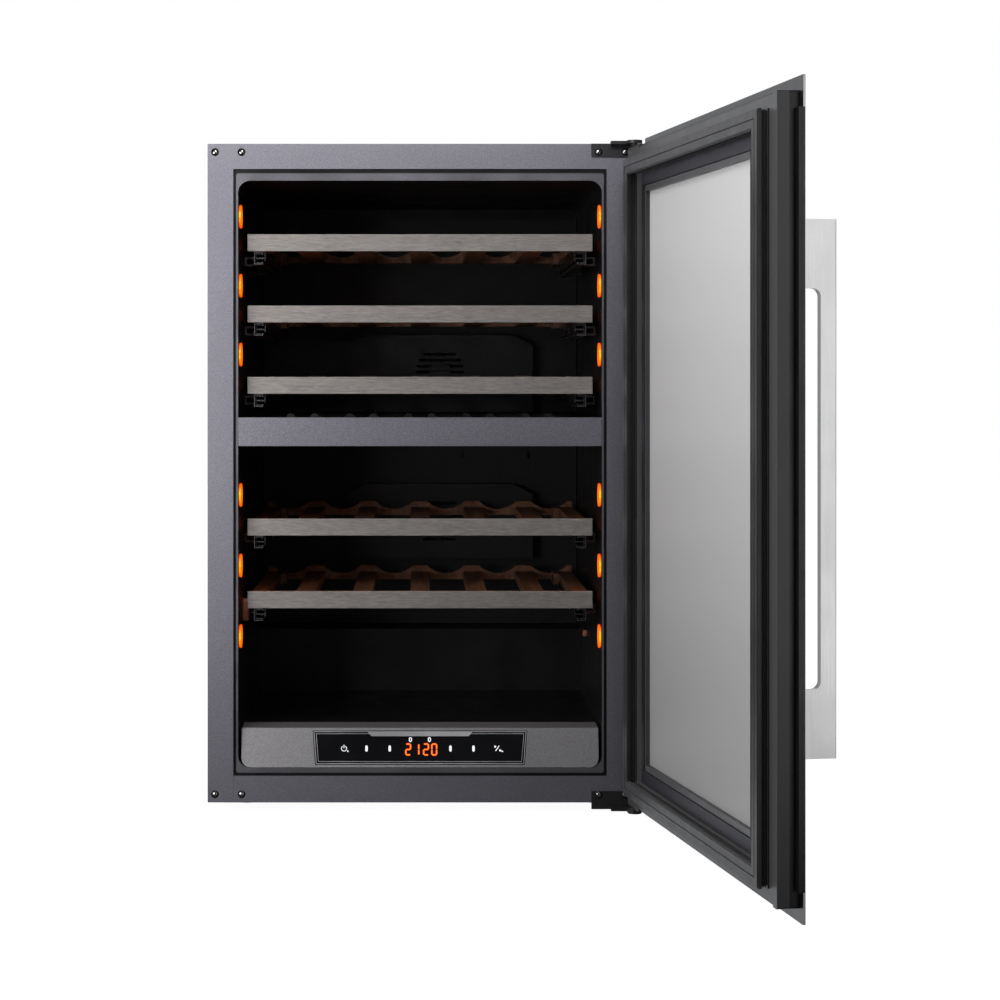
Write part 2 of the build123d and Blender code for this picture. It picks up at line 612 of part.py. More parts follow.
def shelf_rails():
    """Fixed channels of the ball slides, with the spacer brackets that hold them off the walls."""
    rails = []
    for shelf in SHELF_Z:
        low, high = slide_z(shelf)
        x = (SLIDE_X - SLIDE_WIDTH / 2, SLIDE_X + SLIDE_WIDTH / 2)
        y = (SHELF_FRONT + 6, SLIDE_BACK)
        channel = block(x, y, (low, high))
        inside_z = (low + SLIDE_STEEL, high - SLIDE_STEEL)
        channel -= block((x[0] - 1, x[1] - SLIDE_STEEL), (y[0] - 1, y[1] - SLIDE_STEEL), inside_z)
        lips = [block((x[0], x[0] + SLIDE_STEEL), y, span) for span in ((low, low + 3.5), (high - 3.5, high))]
        rail = channel + lips
        for start in (FRONT + BRACKET_SETBACK, SLIDE_BACK - BRACKET_LENGTH - 10):
            foot = block((x[1], LINER_X), (start, start + BRACKET_LENGTH), (low + 2, high - 2))
            hollow_y = (start - 1, start + BRACKET_LENGTH + 1)
            hollow = block((x[1] + 3, LINER_X - 3), hollow_y, (low + 5, high - 5))
            rail += foot - hollow
        rails += mirrored(rail)
    return rails


def shelf_slides(shelf):
    """Moving members of one shelf's ball slides, with the tabs that carry the rack."""
    low, high = slide_z(shelf)
    inset = SLIDE_STEEL + SLIDE_MEMBER_GAP
    x = (SLIDE_X - SLIDE_WIDTH / 2 + inset + 0.4, SLIDE_X + SLIDE_WIDTH / 2 - inset)
    y = (SHELF_FRONT + 10, SLIDE_BACK - 4)
    lip = 3.5
    member = block(x, y, (low + inset, high - inset))
    inside_z = (low + inset + SLIDE_STEEL, high - inset - SLIDE_STEEL)
    member -= block((x[0] - 1, x[1] - SLIDE_STEEL), (y[0] - 1, y[1] + 1), inside_z)
    neck_z = (low + lip + 1.2, high - lip - 1.2)
    web_x = SLIDE_X - SLIDE_WIDTH / 2 - 1.8
    neck = block((web_x, x[1]), y, ((neck_z[0] + neck_z[1]) / 2 - 1, (neck_z[0] + neck_z[1]) / 2 + 1))
    web = block((web_x - SLIDE_STEEL, web_x), y, (neck_z[0], shelf + RACK_CLEARANCE))
    return mirrored(member + neck + web)


def rack_span():
    """Height range of a rack's boards above the fascia's lower edge."""
    return (RACK_CLEARANCE, RACK_CLEARANCE + SLAT_THICKNESS)


def shelf_rack(shelf):
    """Wooden rack: side boards, front-to-back slats between the bottles and a scalloped rail at the back."""
    low, high = shelf + rack_span()[0], shelf + rack_span()[1]
    y = (SHELF_FRONT + FASCIA_THICKNESS + 0.3, SHELF_BACK)
    inner = SLIDE_X - SLIDE_WIDTH / 2 - 3.2
    outer = SHELF_X - 1.5
    count = int(2 * inner / BOTTLE_PITCH)
    rack = block((-outer, outer), (y[0], y[0] + RACK_RAIL_DEPTH), (low, shelf + FASCIA_HEIGHT - 1))
    rear = block((-outer, outer), (y[1] - RACK_RAIL_DEPTH, y[1]), (low, shelf + FASCIA_HEIGHT + 3))
    dips = grid(0, BOTTLE_PITCH, count + 1)
    for x in dips:
        rear -= rod(BOTTLE_PITCH / 2, x, (y[1] - 2 * RACK_RAIL_DEPTH, y[1] + 1), high + BOTTLE_PITCH / 2 - 3)
    rack += rear
    rack += mirrored(block((inner, outer), y, (low, high)))
    for x in grid(0, BOTTLE_PITCH, count):
        rack += block((x - SLAT_WIDTH / 2, x + SLAT_WIDTH / 2), y, (low, high))
    for start in (y[0], y[1] - RACK_BLOCK[1]):
        block_y = (start, start + RACK_BLOCK[1])
        rack += mirrored(block((inner - RACK_BLOCK[0], inner), block_y, (shelf + FASCIA_FOLD + 0.2, high)))
    return rack


def shelf_fascia(shelf):
    """Brushed metal front strip, folded back along its top and bottom edges."""
    y = (SHELF_FRONT, SHELF_FRONT + FASCIA_THICKNESS)
    face = block((-SHELF_X, SHELF_X), y, (shelf, shelf + FASCIA_HEIGHT))
    fold = block((-SHELF_X, SHELF_X), (y[0], y[1] + 6), (shelf, shelf + FASCIA_FOLD))
    return fillet((face + fold).edges().filter_by(Axis.X).group_by(Axis.Y)[0], 0.5)


# ---- air ducts and fans
def duct_cover(z, bump_z, fan_z):
    """Back wall cover with a raised fan housing that has sloped shoulders, and slots for the air."""
    side = LINER_X - 1.0
    face = DUCT_FACE
    sheet = block((-side, side), (face, face + DUCT_WALL), z)
    half, centre = DUCT_BUMP_WIDTH / 2, DUCT_BUMP_CENTRE

    def outline(inset):
        points = [
            (centre - half + inset, bump_z[0] + inset),
            (centre + half - inset, bump_z[0] + inset),
            (centre + half - inset, bump_z[1] - DUCT_SHOULDER / 2),
            (centre + half - DUCT_SHOULDER, bump_z[1] - inset),
            (centre - half + DUCT_SHOULDER, bump_z[1] - inset),
            (centre - half + inset, bump_z[1] - DUCT_SHOULDER / 2),
        ]
        return make_face(Polyline(*points, close=True))

    bump = along_y(outline(0), (face - DUCT_BUMP, face + DUCT_WALL))
    hollow = along_y(outline(DUCT_WALL), (face - DUCT_BUMP + DUCT_WALL, face + DUCT_WALL + 1))
    slots = Sketch()
    for offset in grid(0, DUCT_SLOT[0], FAN_BLADES):
        length = 2 * math.sqrt((ZONE_FAN_SIZE / 2 - 3) ** 2 - offset**2)
        slots += Pos(centre, fan_z + offset) * SlotOverall(length, DUCT_SLOT[1])
    return sheet + bump - hollow - along_y(slots, (face - DUCT_BUMP - 1, face - DUCT_BUMP + DUCT_WALL + 1))


def upper_duct_cover():
    z = (DIVIDER_Z[1] + 2, LINER_Z[1] - LINER_RADIUS)
    cover = duct_cover(z, (z[0], UPPER_FAN_Z + DUCT_BUMP_MARGIN), UPPER_FAN_Z)
    outlets = Sketch()
    for x in grid(0, 60, 7):
        outlets += Pos(x, z[1] - 24) * SlotOverall(48, 6)
    return cover - along_y(outlets, (DUCT_FACE - 1, DUCT_FACE + DUCT_WALL + 1))


def lower_duct_cover():
    z = (HUMP_TOP + 1, DIVIDER_Z[0] - 2)
    cover = duct_cover(z, (LOWER_FAN_Z - DUCT_BUMP_MARGIN, LOWER_FAN_Z + DUCT_BUMP_MARGIN), LOWER_FAN_Z)
    keyholes = Sketch()
    for x in (65.0, 165.0):
        keyholes += Pos(x, z[1] - 32) * Circle(2.2) + Pos(x, z[1] - 28) * SlotOverall(9, 2.2, 90)
    return cover - along_y(keyholes, (DUCT_FACE - 1, DUCT_FACE + DUCT_WALL + 1))


def evaporators():
    """Plate evaporators on the back of the liner, with their pressed channels."""
    plates = []
    for fan_z in (UPPER_FAN_Z, LOWER_FAN_Z):
        x = (-EVAPORATOR_WIDTH / 2 - 120, EVAPORATOR_WIDTH / 2 - 120)
        z = (fan_z - EVAPORATOR_HEIGHT / 2 + 8, fan_z + EVAPORATOR_HEIGHT / 2 + 8)
        back = LINER_BACK - 1.0
        plate = block(x, (back - 1.5, back), z)
        tube_y = back - EVAPORATOR_THICKNESS / 2 - 0.5
        for row in grid(sum(z) / 2, 18, 5):
            plate += rod(EVAPORATOR_THICKNESS / 2, (x[0] + 10, x[1] - 10), tube_y, row)
        for index, row in enumerate(grid(sum(z) / 2, 18, 4)):
            bend_x = x[1] - 14 if index % 2 else x[0] + 14
            plate += rod(EVAPORATOR_THICKNESS / 2, bend_x, tube_y, (row - 9, row + 9))
        plates.append(plate)
    return plates


def fan_rotor(size, depth):
    """Axial fan wheel about Z: a cup hub, pitched blades and a bore for the pin."""
    hub, tip = size * 0.2, size / 2 - 3.5
    height = depth * 0.62
    wheel = Cylinder(hub, height)
    blade = Box(tip - hub + 6, depth * 0.85, 1.8)
    sweep_space = Cylinder(tip, height)
    for n in range(FAN_BLADES):
        turned = Rot(0, 0, n * 360 / FAN_BLADES) * Pos((tip + hub) / 2 - 1, 0, 0) * Rot(32, 0, 0) * blade
        wheel += turned & sweep_space
    wheel -= Pos(0, 0, -height / 2) * Cylinder(hub - 2.5, height)
    boss = Pos(0, 0, 0) * Cylinder(4.0, height)
    return wheel + boss - Cylinder(FAN_PIN_RADIUS + FAN_PIN_CLEARANCE, 2 * height)


def fan_frame(size, depth):
    """Square fan frame about Z, with a round duct, four fixing holes, a strutted back and the wheel's pin."""
    frame = extrude(RectangleRounded(size, size, 5), amount=depth / 2, both=True)
    frame -= Cylinder(size / 2 - 2, 2 * depth)
    back = -depth / 2
    corner = size / 2 - 5
    holes = [Pos(sx * corner, sy * corner, 0) * Cylinder(2, 2 * depth) for sx in (-1, 1) for sy in (-1, 1)]
    struts = Sketch()
    for angle in (45, 165, 285):
        struts += Rot(0, 0, angle) * Pos(size / 4, 0) * Rectangle(size / 2 - 1, 3)
    ring = Circle(size * 0.16)
    spider = Pos(0, 0, back) * extrude(struts + ring, amount=2.0)
    pin = Pos(0, 0, back + 1 + depth * 0.4) * Cylinder(FAN_PIN_RADIUS, depth * 0.8)
    return frame - holes + spider + pin


def zone_fan_place(fan_z):
    fan_y = DUCT_FACE - DUCT_BUMP + DUCT_WALL + 2 + ZONE_FAN_DEPTH / 2
    return Pos(DUCT_BUMP_CENTRE, fan_y, fan_z) * Rot(90, 0, 0)


def condenser_fan_place():
    x = CONDENSER_X + CONDENSER_WIDTH / 2 + 16
    return Pos(x, machine_room_middle(), BASE + 6 + CONDENSER_FAN_SIZE / 2) * Rot(0, 90, 0)


def machine_room_middle():
    return (MACHINE_ROOM_FRONT + REAR - SHEET) / 2


def fan_frames():
    zone = fan_frame(ZONE_FAN_SIZE, ZONE_FAN_DEPTH)
    frames = [zone_fan_place(z) * zone for z in (UPPER_FAN_Z, LOWER_FAN_Z)]
    return frames + [condenser_fan_place() * fan_frame(CONDENSER_FAN_SIZE, CONDENSER_FAN_DEPTH)]


# ---- refrigeration set
def grommet_places():
    x = COMPRESSOR_WIDTH / 2 + 4
    y = COMPRESSOR_DEPTH / 2 - 12
    return [(COMPRESSOR_X + sx * x, machine_room_middle() + sy * y) for sx in (-1, 1) for sy in (-1, 1)]


def compressor():
    """Welded compressor shell with its seam band, foot plate, terminal cover and tray."""
    floor = BASE + 2 * SHEET + GROMMET_HEIGHT
    y = machine_room_middle()
    body = extrude(Ellipse(COMPRESSOR_WIDTH / 2 - 8, COMPRESSOR_DEPTH / 2 - 4), amount=COMPRESSOR_HEIGHT - 6)
    body = fillet(body.edges(), 18)
    seam_oval = Ellipse(COMPRESSOR_WIDTH / 2 - 6, COMPRESSOR_DEPTH / 2 - 2)
    seam = Pos(0, 0, COMPRESSOR_HEIGHT * 0.5) * extrude(seam_oval, amount=5)
    plate = extrude(RectangleRounded(COMPRESSOR_WIDTH + 26, COMPRESSOR_DEPTH - 4, 10), amount=3)
    box = Pos(COMPRESSOR_WIDTH / 2 - 10, 0, COMPRESSOR_HEIGHT * 0.28) * Box(26, 50, 44)
    unit = Pos(COMPRESSOR_X, y, floor) * (Pos(0, 0, 2) * body + Pos(0, 0, 2) * seam + plate + box)
    return unit - [rod(GROMMET_WAIST, px, py, (floor - 1, floor + 4)) for px, py in grommet_places()]


def compressor_grommets():
    """Rubber mounts pressed through the foot plate."""
    low = BASE + 2 * SHEET
    grommets = []
    for x, y in grommet_places():
        skirt = rod(GROMMET_RADIUS, x, y, (low, low + GROMMET_HEIGHT))
        waist = rod(GROMMET_WAIST - 0.1, x, y, (BASE - 0.0, low + GROMMET_HEIGHT + 3))
        cap = rod(GROMMET_RADIUS - 2, x, y, (low + GROMMET_HEIGHT + 3, low + GROMMET_HEIGHT + 6))
        grommets.append(skirt + waist + cap)
    return grommets


def condenser():
    """Fin-and-tube condenser block."""
    x = (CONDENSER_X - CONDENSER_WIDTH / 2, CONDENSER_X + CONDENSER_WIDTH / 2 - 2)
    y, low = machine_room_middle(), BASE + 10
    half = CONDENSER_SIZE / 2
    coil = Part()
    for fin_x in grid(sum(x) / 2, (x[1] - x[0]) / CONDENSER_FINS, CONDENSER_FINS):
        coil += block((fin_x - 0.5, fin_x + 0.5), (y - half, y + half), (low, low + CONDENSER_SIZE))
    for row in grid(low + half, 24, 4):
        for tube_y in grid(y, 40, 2):
            coil += rod(4, (x[0] - 4, x[1] - 1), tube_y, row)
        coil += rod(4, x[0] - 4, (y - 20, y + 20), row)
    return coil


def drip_tray():
    """Open tray over the compressor that catches and evaporates the zones' condensate."""
    low = BASE + 2 * SHEET + GROMMET_HEIGHT + COMPRESSOR_HEIGHT
    y = machine_room_middle()
    x = (COMPRESSOR_X - 60, COMPRESSOR_X + 60)
    tray = block(x, (y - 40, y + 40), (low, low + 16))
    return tray - block((x[0] + 2, x[1] - 2), (y - 38, y + 38), (low + 2, low + 20))


def pipe(points, radius, bend=9.0):
    """Round pipe along straight runs joined by arcs."""
    path = FilletPolyline(*points, radius=bend)
    start = Plane(origin=path @ 0, z_dir=path % 0)
    return sweep(start * Circle(radius), path=path)


def riser_points(index, fan_z):
    """Pipe route from the machine room up through the foam and forward to an evaporator."""
    x, y = PIPE_X[index], REAR - 26 - 12 * index
    low = MACHINE_ROOM_TOP - 22
    return [(x, y, low), (x, y, fan_z), (x, LINER_BACK - 6, fan_z)]


def pipe_channels():
    channels = []
    for index, fan_z in enumerate((UPPER_FAN_Z, LOWER_FAN_Z)):
        channels.append(pipe(riser_points(index, fan_z), PIPE_RADIUS + PIPE_CLEARANCE))
    return channels


def pipe_holes():
    z = (MACHINE_ROOM_TOP - 1, MACHINE_ROOM_TOP + 3)
    return [rod(PIPE_RADIUS + PIPE_CLEARANCE, x, REAR - 26 - 12 * n, z) for n, x in enumerate(PIPE_X)]


def liner_pipe_holes():
    y = (LINER_BACK - 1, LINER_BACK + LINER_WALL + 1)
    return [rod(PIPE_RADIUS + PIPE_CLEARANCE, x, y, z) for x, z in zip(PIPE_X, (UPPER_FAN_Z, LOWER_FAN_Z))]


def refrigerant_lines():
    """Copper lines to the evaporators, the condenser line and the filter drier."""
    lines = []
    for index, fan_z in enumerate((UPPER_FAN_Z, LOWER_FAN_Z)):
        lines.append(pipe(riser_points(index, fan_z), PIPE_RADIUS))
    y = machine_room_middle()
    low = BASE + 40
    drier = rod(9, 118, y + 30, (low, low + 60)) + rod(PIPE_RADIUS, 118, y + 30, (low - 14, low + 74))
    return lines + [drier]


def power_inlet():
    """Appliance inlet in the back cover, with its earth and line pins."""
    y_face = REAR
    x, z = INLET_X, BASE + INLET_HEIGHT
    flange = along_y(rectangle((x - 25, x + 25), (z - 11.5, z + 11.5), 8), (y_face, y_face + 2.5))
    body = along_y(rectangle((x - 13.6, x + 13.6), (z - 9.8, z + 9.8), 3), (y_face - 18, y_face + 2.5))
    well = along_y(rectangle((x - 12, x + 12), (z - 8, z + 8), 3), (y_face - 15, y_face + 5))
    pin_y = (y_face - 16, y_face - 2)
    pins = [block((px - 2, px + 2), pin_y, (pz - 1, pz + 1)) for px, pz in inlet_pins(x, z)]
    holes = [rod(1.8, px, (y_face - 1, y_face + 5), z) for px in grid(x, INLET_SCREW_PITCH, 2)]
    return flange + body - well - holes + pins


def inlet_pins(x, z):
    return [(x - 7, z - 2), (x + 7, z - 2), (x, z + 3)]


def power_module():
    """Closed box of the mains board on the machine room's side."""
    y = machine_room_middle()
    box = block((INLET_X - 40, INLET_X + 40), (y - 50, y + 20), (BASE + 30, BASE + 135))
    return fillet(box.edges().filter_by(Axis.Z), 5)


# ---- hinges on the cabinet
def hinge_plate(z):
    """Upright plate of a hinge on the flange, with its two screw holes."""
    x = (SIDE - 2 - HINGE_PLATE_WIDTH, SIDE - 2)
    plate = block(x, (FRONT - HINGE_PLATE_THICKNESS, FRONT), z)
    hole, hole_y = SCREW_RADIUS + SCREW_CLEARANCE, (FRONT - 9, FRONT + 9)
    return plate - [rod(hole, sx, hole_y, sz) for sx in SCREW_X for sz in SCREW_Z]


def hinge_arm(z, neck):
    """Level arm of a hinge from its plate out to the round end at the pin."""
    px, py = PIVOT
    outline = rectangle((px - ARM_RADIUS - neck, SIDE - 2), (py + 4, FRONT))
    outline += Pos(px, py) * Circle(ARM_RADIUS) + rectangle((px - ARM_RADIUS, SIDE - 2), (py, FRONT))
    outline = outline & rectangle((0, px + ARM_RADIUS), (py - ARM_RADIUS, FRONT))
    return along_z(outline, z)


def top_hinge():
    """Top hinge: plate, arm over the door frame and the pin that hangs from it."""
    plate_z = (TOP - TOP_ARM_DROP - TOP_PLATE_HEIGHT, TOP - TOP_ARM_DROP + 2)
    arm_z = (TOP - TOP_ARM_DROP, TOP - TOP_ARM_DROP + ARM_THICKNESS)
    pin_z = (arm_z[0] - PIN_LENGTH, arm_z[0] + 1)
    return hinge_plate(plate_z) + hinge_arm(arm_z, 20) + rod(PIN_RADIUS, *PIVOT, pin_z)


def bottom_hinge():
    """Bottom hinge: plate, arm under the door frame, and the boss and pin that carry the door."""
    arm_z = (BASE - BOTTOM_ARM_GAP - BOTTOM_ARM_THICKNESS, BASE - BOTTOM_ARM_GAP)
    plate = hinge_plate((arm_z[0], BASE + BOTTOM_PLATE_HEIGHT))
    boss = rod(ARM_RADIUS - 1, *PIVOT, (arm_z[0] - 1.5, FRAME_Z[0] - BUSH_PLATE[2] - 0.3))
    pin = rod(PIN_RADIUS, *PIVOT, (arm_z[0], FRAME_Z[0] + PIN_LENGTH - 7))
    return plate + hinge_arm(arm_z, 20) + boss + pin


def flange_screws():
    """Domed screws: through the hinge plates on the right, plugging the spare holes on the left."""
    arc_radius = (SCREW_HEAD_RADIUS**2 + SCREW_HEAD_HEIGHT**2) / (2 * SCREW_HEAD_HEIGHT)
    screws = []
    for x, z in screw_places():
        seat = FRONT - HINGE_PLATE_THICKNESS if x > 0 else FRONT
        ball = Pos(x, seat - SCREW_HEAD_HEIGHT + arc_radius, z) * Sphere(arc_radius)
        dome = ball & block((x - 9, x + 9), (seat - 9, seat), (z - 9, z + 9))
        cross = Box(4.4, 1.6, 0.9) + Box(0.9, 1.6, 4.4)
        shank = rod(SCREW_RADIUS, x, (seat - 0.5, FRONT + SCREW_LENGTH), z)
        screws.append(dome + shank - Pos(x, seat - SCREW_HEAD_HEIGHT, z) * cross)
    return screws


# ---- door, drawn closed and then swung open about the hinge pins
def swung(shapes):
    """Turn the closed door's shapes to the open rest place."""
    px, py = PIVOT
    shapes = shapes if isinstance(shapes, list) else [shapes]
    return [Pos(px, py, 0) * Rot(0, 0, DOOR_OPEN_DEG) * Pos(-px, -py, 0) * shape for shape in shapes]


def door_ring(outer, inner, y, radius=0.0):
    """Frame between two upright rectangles, each an X half-width and a Z span."""
    (outer_x, outer_z), (inner_x, inner_z) = outer, inner
    sketch = rectangle((-outer_x, outer_x), outer_z, radius) - rectangle((-inner_x, inner_x), inner_z)
    return along_y(sketch, y)


def grown(by_side, by_end=None):
    """The window opening, grown outwards at its sides and, where that differs, at its ends."""
    by_end = by_side if by_end is None else by_end
    return (WINDOW_X + by_side, (WINDOW_Z[0] - by_end, WINDOW_Z[1] + by_end))


def trim_span():
    return (DOOR_Z[0] + EDGE_TRIM_END, DOOR_Z[1] - EDGE_TRIM_END)


def door_panel():
    """Stainless outer frame, stepped in behind its face along the sides to take the edge trims."""
    y = (DOOR_FACE, DOOR_FACE + PANEL_THICKNESS)
    panel = door_ring((DOOR_X, DOOR_Z), grown(0), y, 1.5)
    step = block((DOOR_X - EDGE_TRIM_THICKNESS, DOOR_X + 1), (y[0] + PANEL_SKIN, y[1] + 1), trim_span())
    panel -= mirrored(step)
    hole_y = (y[0] - 1, y[1] + 1)
    return panel - [rod(HANDLE_SCREW_RADIUS + 0.4, handle_x(), hole_y, z) for z in handle_screw_z()]


def edge_trims():
    """Black angle strips over the panel's side edges, with a short bare length at each end."""
    y = (DOOR_FACE + PANEL_THICKNESS + 0.1, DOOR_FACE + PANEL_THICKNESS + EDGE_TRIM_HEIGHT)
    strip = block((FRAME_X + 0.1, DOOR_X), y, trim_span())
    edge_y = (DOOR_FACE + PANEL_SKIN + 0.1, y[1])
    strip += block((DOOR_X - EDGE_TRIM_THICKNESS + 0.1, DOOR_X), edge_y, trim_span())
    return mirrored(strip)


def pane(y):
    x, z = grown(PANE_LAP)
    return along_y(rectangle((-x, x), z), y)


def outer_pane_y():
    start = DOOR_FACE + PANEL_THICKNESS
    return (start, start + PANE_THICKNESS)


def inner_pane_y():
    start = outer_pane_y()[1] + PANE_SPACING
    return (start, start + PANE_THICKNESS)


def glass_spacer():
    """Hollow-section spacer sealed between the two panes."""
    return door_ring(grown(PANE_LAP - 2), grown(PANE_LAP - 9), (outer_pane_y()[1], inner_pane_y()[0]))


def door_frame():
    """Moulded frame that holds the panes, with grooves for the gasket and the bezel and rebated end bars."""
    y = (DOOR_FACE + PANEL_THICKNESS, FRAME_INNER_FACE)
    frame = door_ring((FRAME_X, FRAME_Z), grown(0), y, FRAME_CORNER)
    frame -= pane_pocket()
    frame -= gasket_ring(GASKET_DART + 0.4, (-GASKET_ROOT, 0))
    high, deep = REBATE
    rebate_x = (REBATE_ENDS[0] - FRAME_X, FRAME_X - REBATE_ENDS[1])
    for z in ((FRAME_Z[0] - 1, FRAME_Z[0] + high), (FRAME_Z[1] - high, FRAME_Z[1] + 1)):
        frame -= block(rebate_x, (y[1] - deep, y[1] + 1), z)
    seat = (y[1] - BEZEL_SEAT, y[1] + 1)
    outside = grown(BEZEL_SIDE[1] + 0.5, BEZEL_END[1] + 0.5)
    frame -= door_ring(outside, grown(BEZEL_SIDE[0] - 0.5, BEZEL_END[0] - 0.5), seat)
    px, py = PIVOT
    for low, high in ((FRAME_Z[0] - 1, FRAME_Z[0] + BUSH_DEPTH), (FRAME_Z[1] - BUSH_DEPTH, FRAME_Z[1] + 1)):
        frame -= rod(BUSH_RADIUS, px, py, (low, high))
    ends = (FRAME_Z[0] + BUSH_DEPTH, FRAME_Z[1] - BUSH_DEPTH)
    frame -= [rod(PIN_RADIUS + 1, px, py, (z - 9, z + 9)) for z in ends]
    return frame - [handle_screw_hole(z) for z in handle_screw_z()]


def pane_pocket():
    x, z = grown(PANE_LAP + PANE_CLEARANCE)
    depth = (DOOR_FACE, inner_pane_y()[1] + 0.1)
    return along_y(rectangle((-x, x), z), depth)


def window_bezel():
    """Flat decorative band round the window, with a thin raised inner edge."""
    y = (FRAME_INNER_FACE - BEZEL_SEAT, FRAME_INNER_FACE - BEZEL_SEAT + BEZEL_THICKNESS)
    inside = grown(BEZEL_SIDE[0], BEZEL_END[0])
    band = door_ring(grown(BEZEL_SIDE[1], BEZEL_END[1]), inside, y)
    edge = door_ring(grown(BEZEL_SIDE[0] + BEZEL_EDGE, BEZEL_END[0] + BEZEL_EDGE), inside, (y[0], y[1] + 1.2))
    return band + edge


def gasket_ring(width, span):
    """Ring of one width along the gasket's middle line, from and to a height above the frame's inner face."""
    middle = GASKET_INSET + GASKET_WIDTH / 2
    rims = []
    for inset in (middle - width / 2, middle + width / 2):
        rims.append((DOOR_X - inset, (DOOR_Z[0] + inset, DOOR_Z[1] - inset)))
    return door_ring(*rims, (FRAME_INNER_FACE + span[0], FRAME_INNER_FACE + span[1]))


def door_gasket():
    """Magnetic gasket: a dart in the frame's groove, a foot, ribbed bellows and a lined cap."""
    cap = GASKET_PROUD - GASKET_CAP
    gasket = gasket_ring(GASKET_DART, (0.3 - GASKET_ROOT, GASKET_FOOT / 2))
    gasket += gasket_ring(GASKET_WIDTH, (0.1, GASKET_FOOT))
    gasket += gasket_ring(GASKET_WAIST, (GASKET_FOOT - 0.5, cap + 0.5))
    width, thickness = GASKET_RIB
    for rib in grid((GASKET_FOOT + cap) / 2, 2 * thickness, 2):
        gasket += gasket_ring(width, (rib - thickness / 2, rib + thickness / 2))
    gasket += gasket_ring(GASKET_WIDTH, (cap, GASKET_PROUD - 1))
    gasket += gasket_ring(GASKET_WIDTH - 2.5, (cap, GASKET_PROUD))
    return gasket - gasket_ring(GASKET_LINE, (GASKET_PROUD - GASKET_LINE, GASKET_PROUD + 1))


def handle_x():
    return -DOOR_X + HANDLE_FROM_FREE_EDGE + HANDLE_WIDTH / 2


def handle_z():
    return (DOOR_Z[0] + HANDLE_BOTTOM, DOOR_Z[0] + HANDLE_BOTTOM + HANDLE_LENGTH)


def handle_screw_z():
    low, high = handle_z()
    return (low + HANDLE_FOOT / 2, high - HANDLE_FOOT / 2)


def handle_screw_hole(z):
    return rod(HANDLE_SCREW_RADIUS + 0.4, handle_x(), (DOOR_FACE, FRAME_INNER_FACE - 8), z)


def door_handle():
    """Flat bar handle cut from thick plate, with a long slot for the fingers."""
    low, high = handle_z()
    y = (DOOR_FACE - HANDLE_PROJECTION, DOOR_FACE)
    outline = rectangle(y, (low, high))
    slot_y = (y[0] + HANDLE_GRIP, y[1] + HANDLE_SLOT_RADIUS)
    outline -= rectangle(slot_y, (low + HANDLE_FOOT, high - HANDLE_FOOT), HANDLE_SLOT_RADIUS)
    x = (handle_x() - HANDLE_WIDTH / 2, handle_x() + HANDLE_WIDTH / 2)
    handle = fillet(along_x(outline, x).edges().filter_by(Axis.Z).group_by(Axis.Y)[0], 1.2)
    hole_y = (y[1] - 14, y[1] + 1)
    return handle - [rod(HANDLE_SCREW_RADIUS + 0.05, handle_x(), hole_y, z) for z in handle_screw_z()]


def handle_screws():
    """Screws from inside the frame into the handle's feet."""
    screws = []
    for z in handle_screw_z():
        start, seat = DOOR_FACE - 12, DOOR_FACE + PANEL_THICKNESS
        shank = rod(HANDLE_SCREW_RADIUS, handle_x(), (start, seat + 12), z)
        screws.append(shank)
    return screws


def hinge_bushes():
    """Bushes for the hinge pins, each with a plate on the frame's end."""
    px, py = PIVOT
    width, depth, thick = BUSH_PLATE
    bushes = []
    for end, sign in ((FRAME_Z[1], 1), (FRAME_Z[0], -1)):
        tube = rod(BUSH_RADIUS - 0.05, px, py, tuple(sorted((end, end - sign * (BUSH_DEPTH - 0.5)))))
        plate_x = (px + BUSH_PLATE_END - width, px + BUSH_PLATE_END)
        outline = rectangle(plate_x, (py - depth / 2, py + depth / 2), 4)
        plate = along_z(outline, tuple(sorted((end, end + sign * thick))))
        bore = rod(PIN_RADIUS + PIN_CLEARANCE, px, py, tuple(sorted((end + sign * 5, end - sign * 20))))
        bushes.append(tube + plate - bore)
    return bushes


def cabinet_parts():
    """Everything that stays with the cabinet."""
    return {
        "cabinet_wrap": cabinet_wrap(),
        "base_pan": base_pan(),
        "compressor_plate": compressor_plate(),
        "rear_panel": rear_panel(),
        "machine_room_cover": machine_room_cover(),
        "insulation_foam": insulation_foam(),
        "inner_liner": inner_liner(),
        "zone_divider": zone_divider(),
        "divider_trim": divider_trim(),
        "upper_duct_cover": upper_duct_cover(),
        "lower_duct_cover": lower_duct_cover(),
        "evaporators": evaporators(),
        "fan_frames": fan_frames(),
        "shelf_rails": shelf_rails(),
        "lamp_lenses": lamp_lenses(),
        "circuit_boards": circuit_boards(),
        "control_housing": control_housing(),
        "display_window": display_window(),
        "sensor_covers": sensor_covers(),
        "compressor": compressor(),
        "compressor_grommets": compressor_grommets(),
        "condenser": condenser(),
        "drip_tray": drip_tray(),
        "refrigerant_lines": refrigerant_lines(),
        "power_inlet": power_inlet(),
        "power_module": power_module(),
        "top_hinge": top_hinge(),
        "bottom_hinge": bottom_hinge(),
        "flange_screws": flange_screws(),
        "levelling_feet": levelling_feet(),
    }


def fan_parts():
    """The fans' wheels, each turning on its frame's pin."""
    zone = fan_rotor(ZONE_FAN_SIZE, ZONE_FAN_DEPTH)
    return {
        "upper_fan_rotor": zone_fan_place(UPPER_FAN_Z) * zone,
        "lower_fan_rotor": zone_fan_place(LOWER_FAN_Z) * zone,
        "condenser_fan_rotor": condenser_fan_place() * fan_rotor(CONDENSER_FAN_SIZE, CONDENSER_FAN_DEPTH),
    }


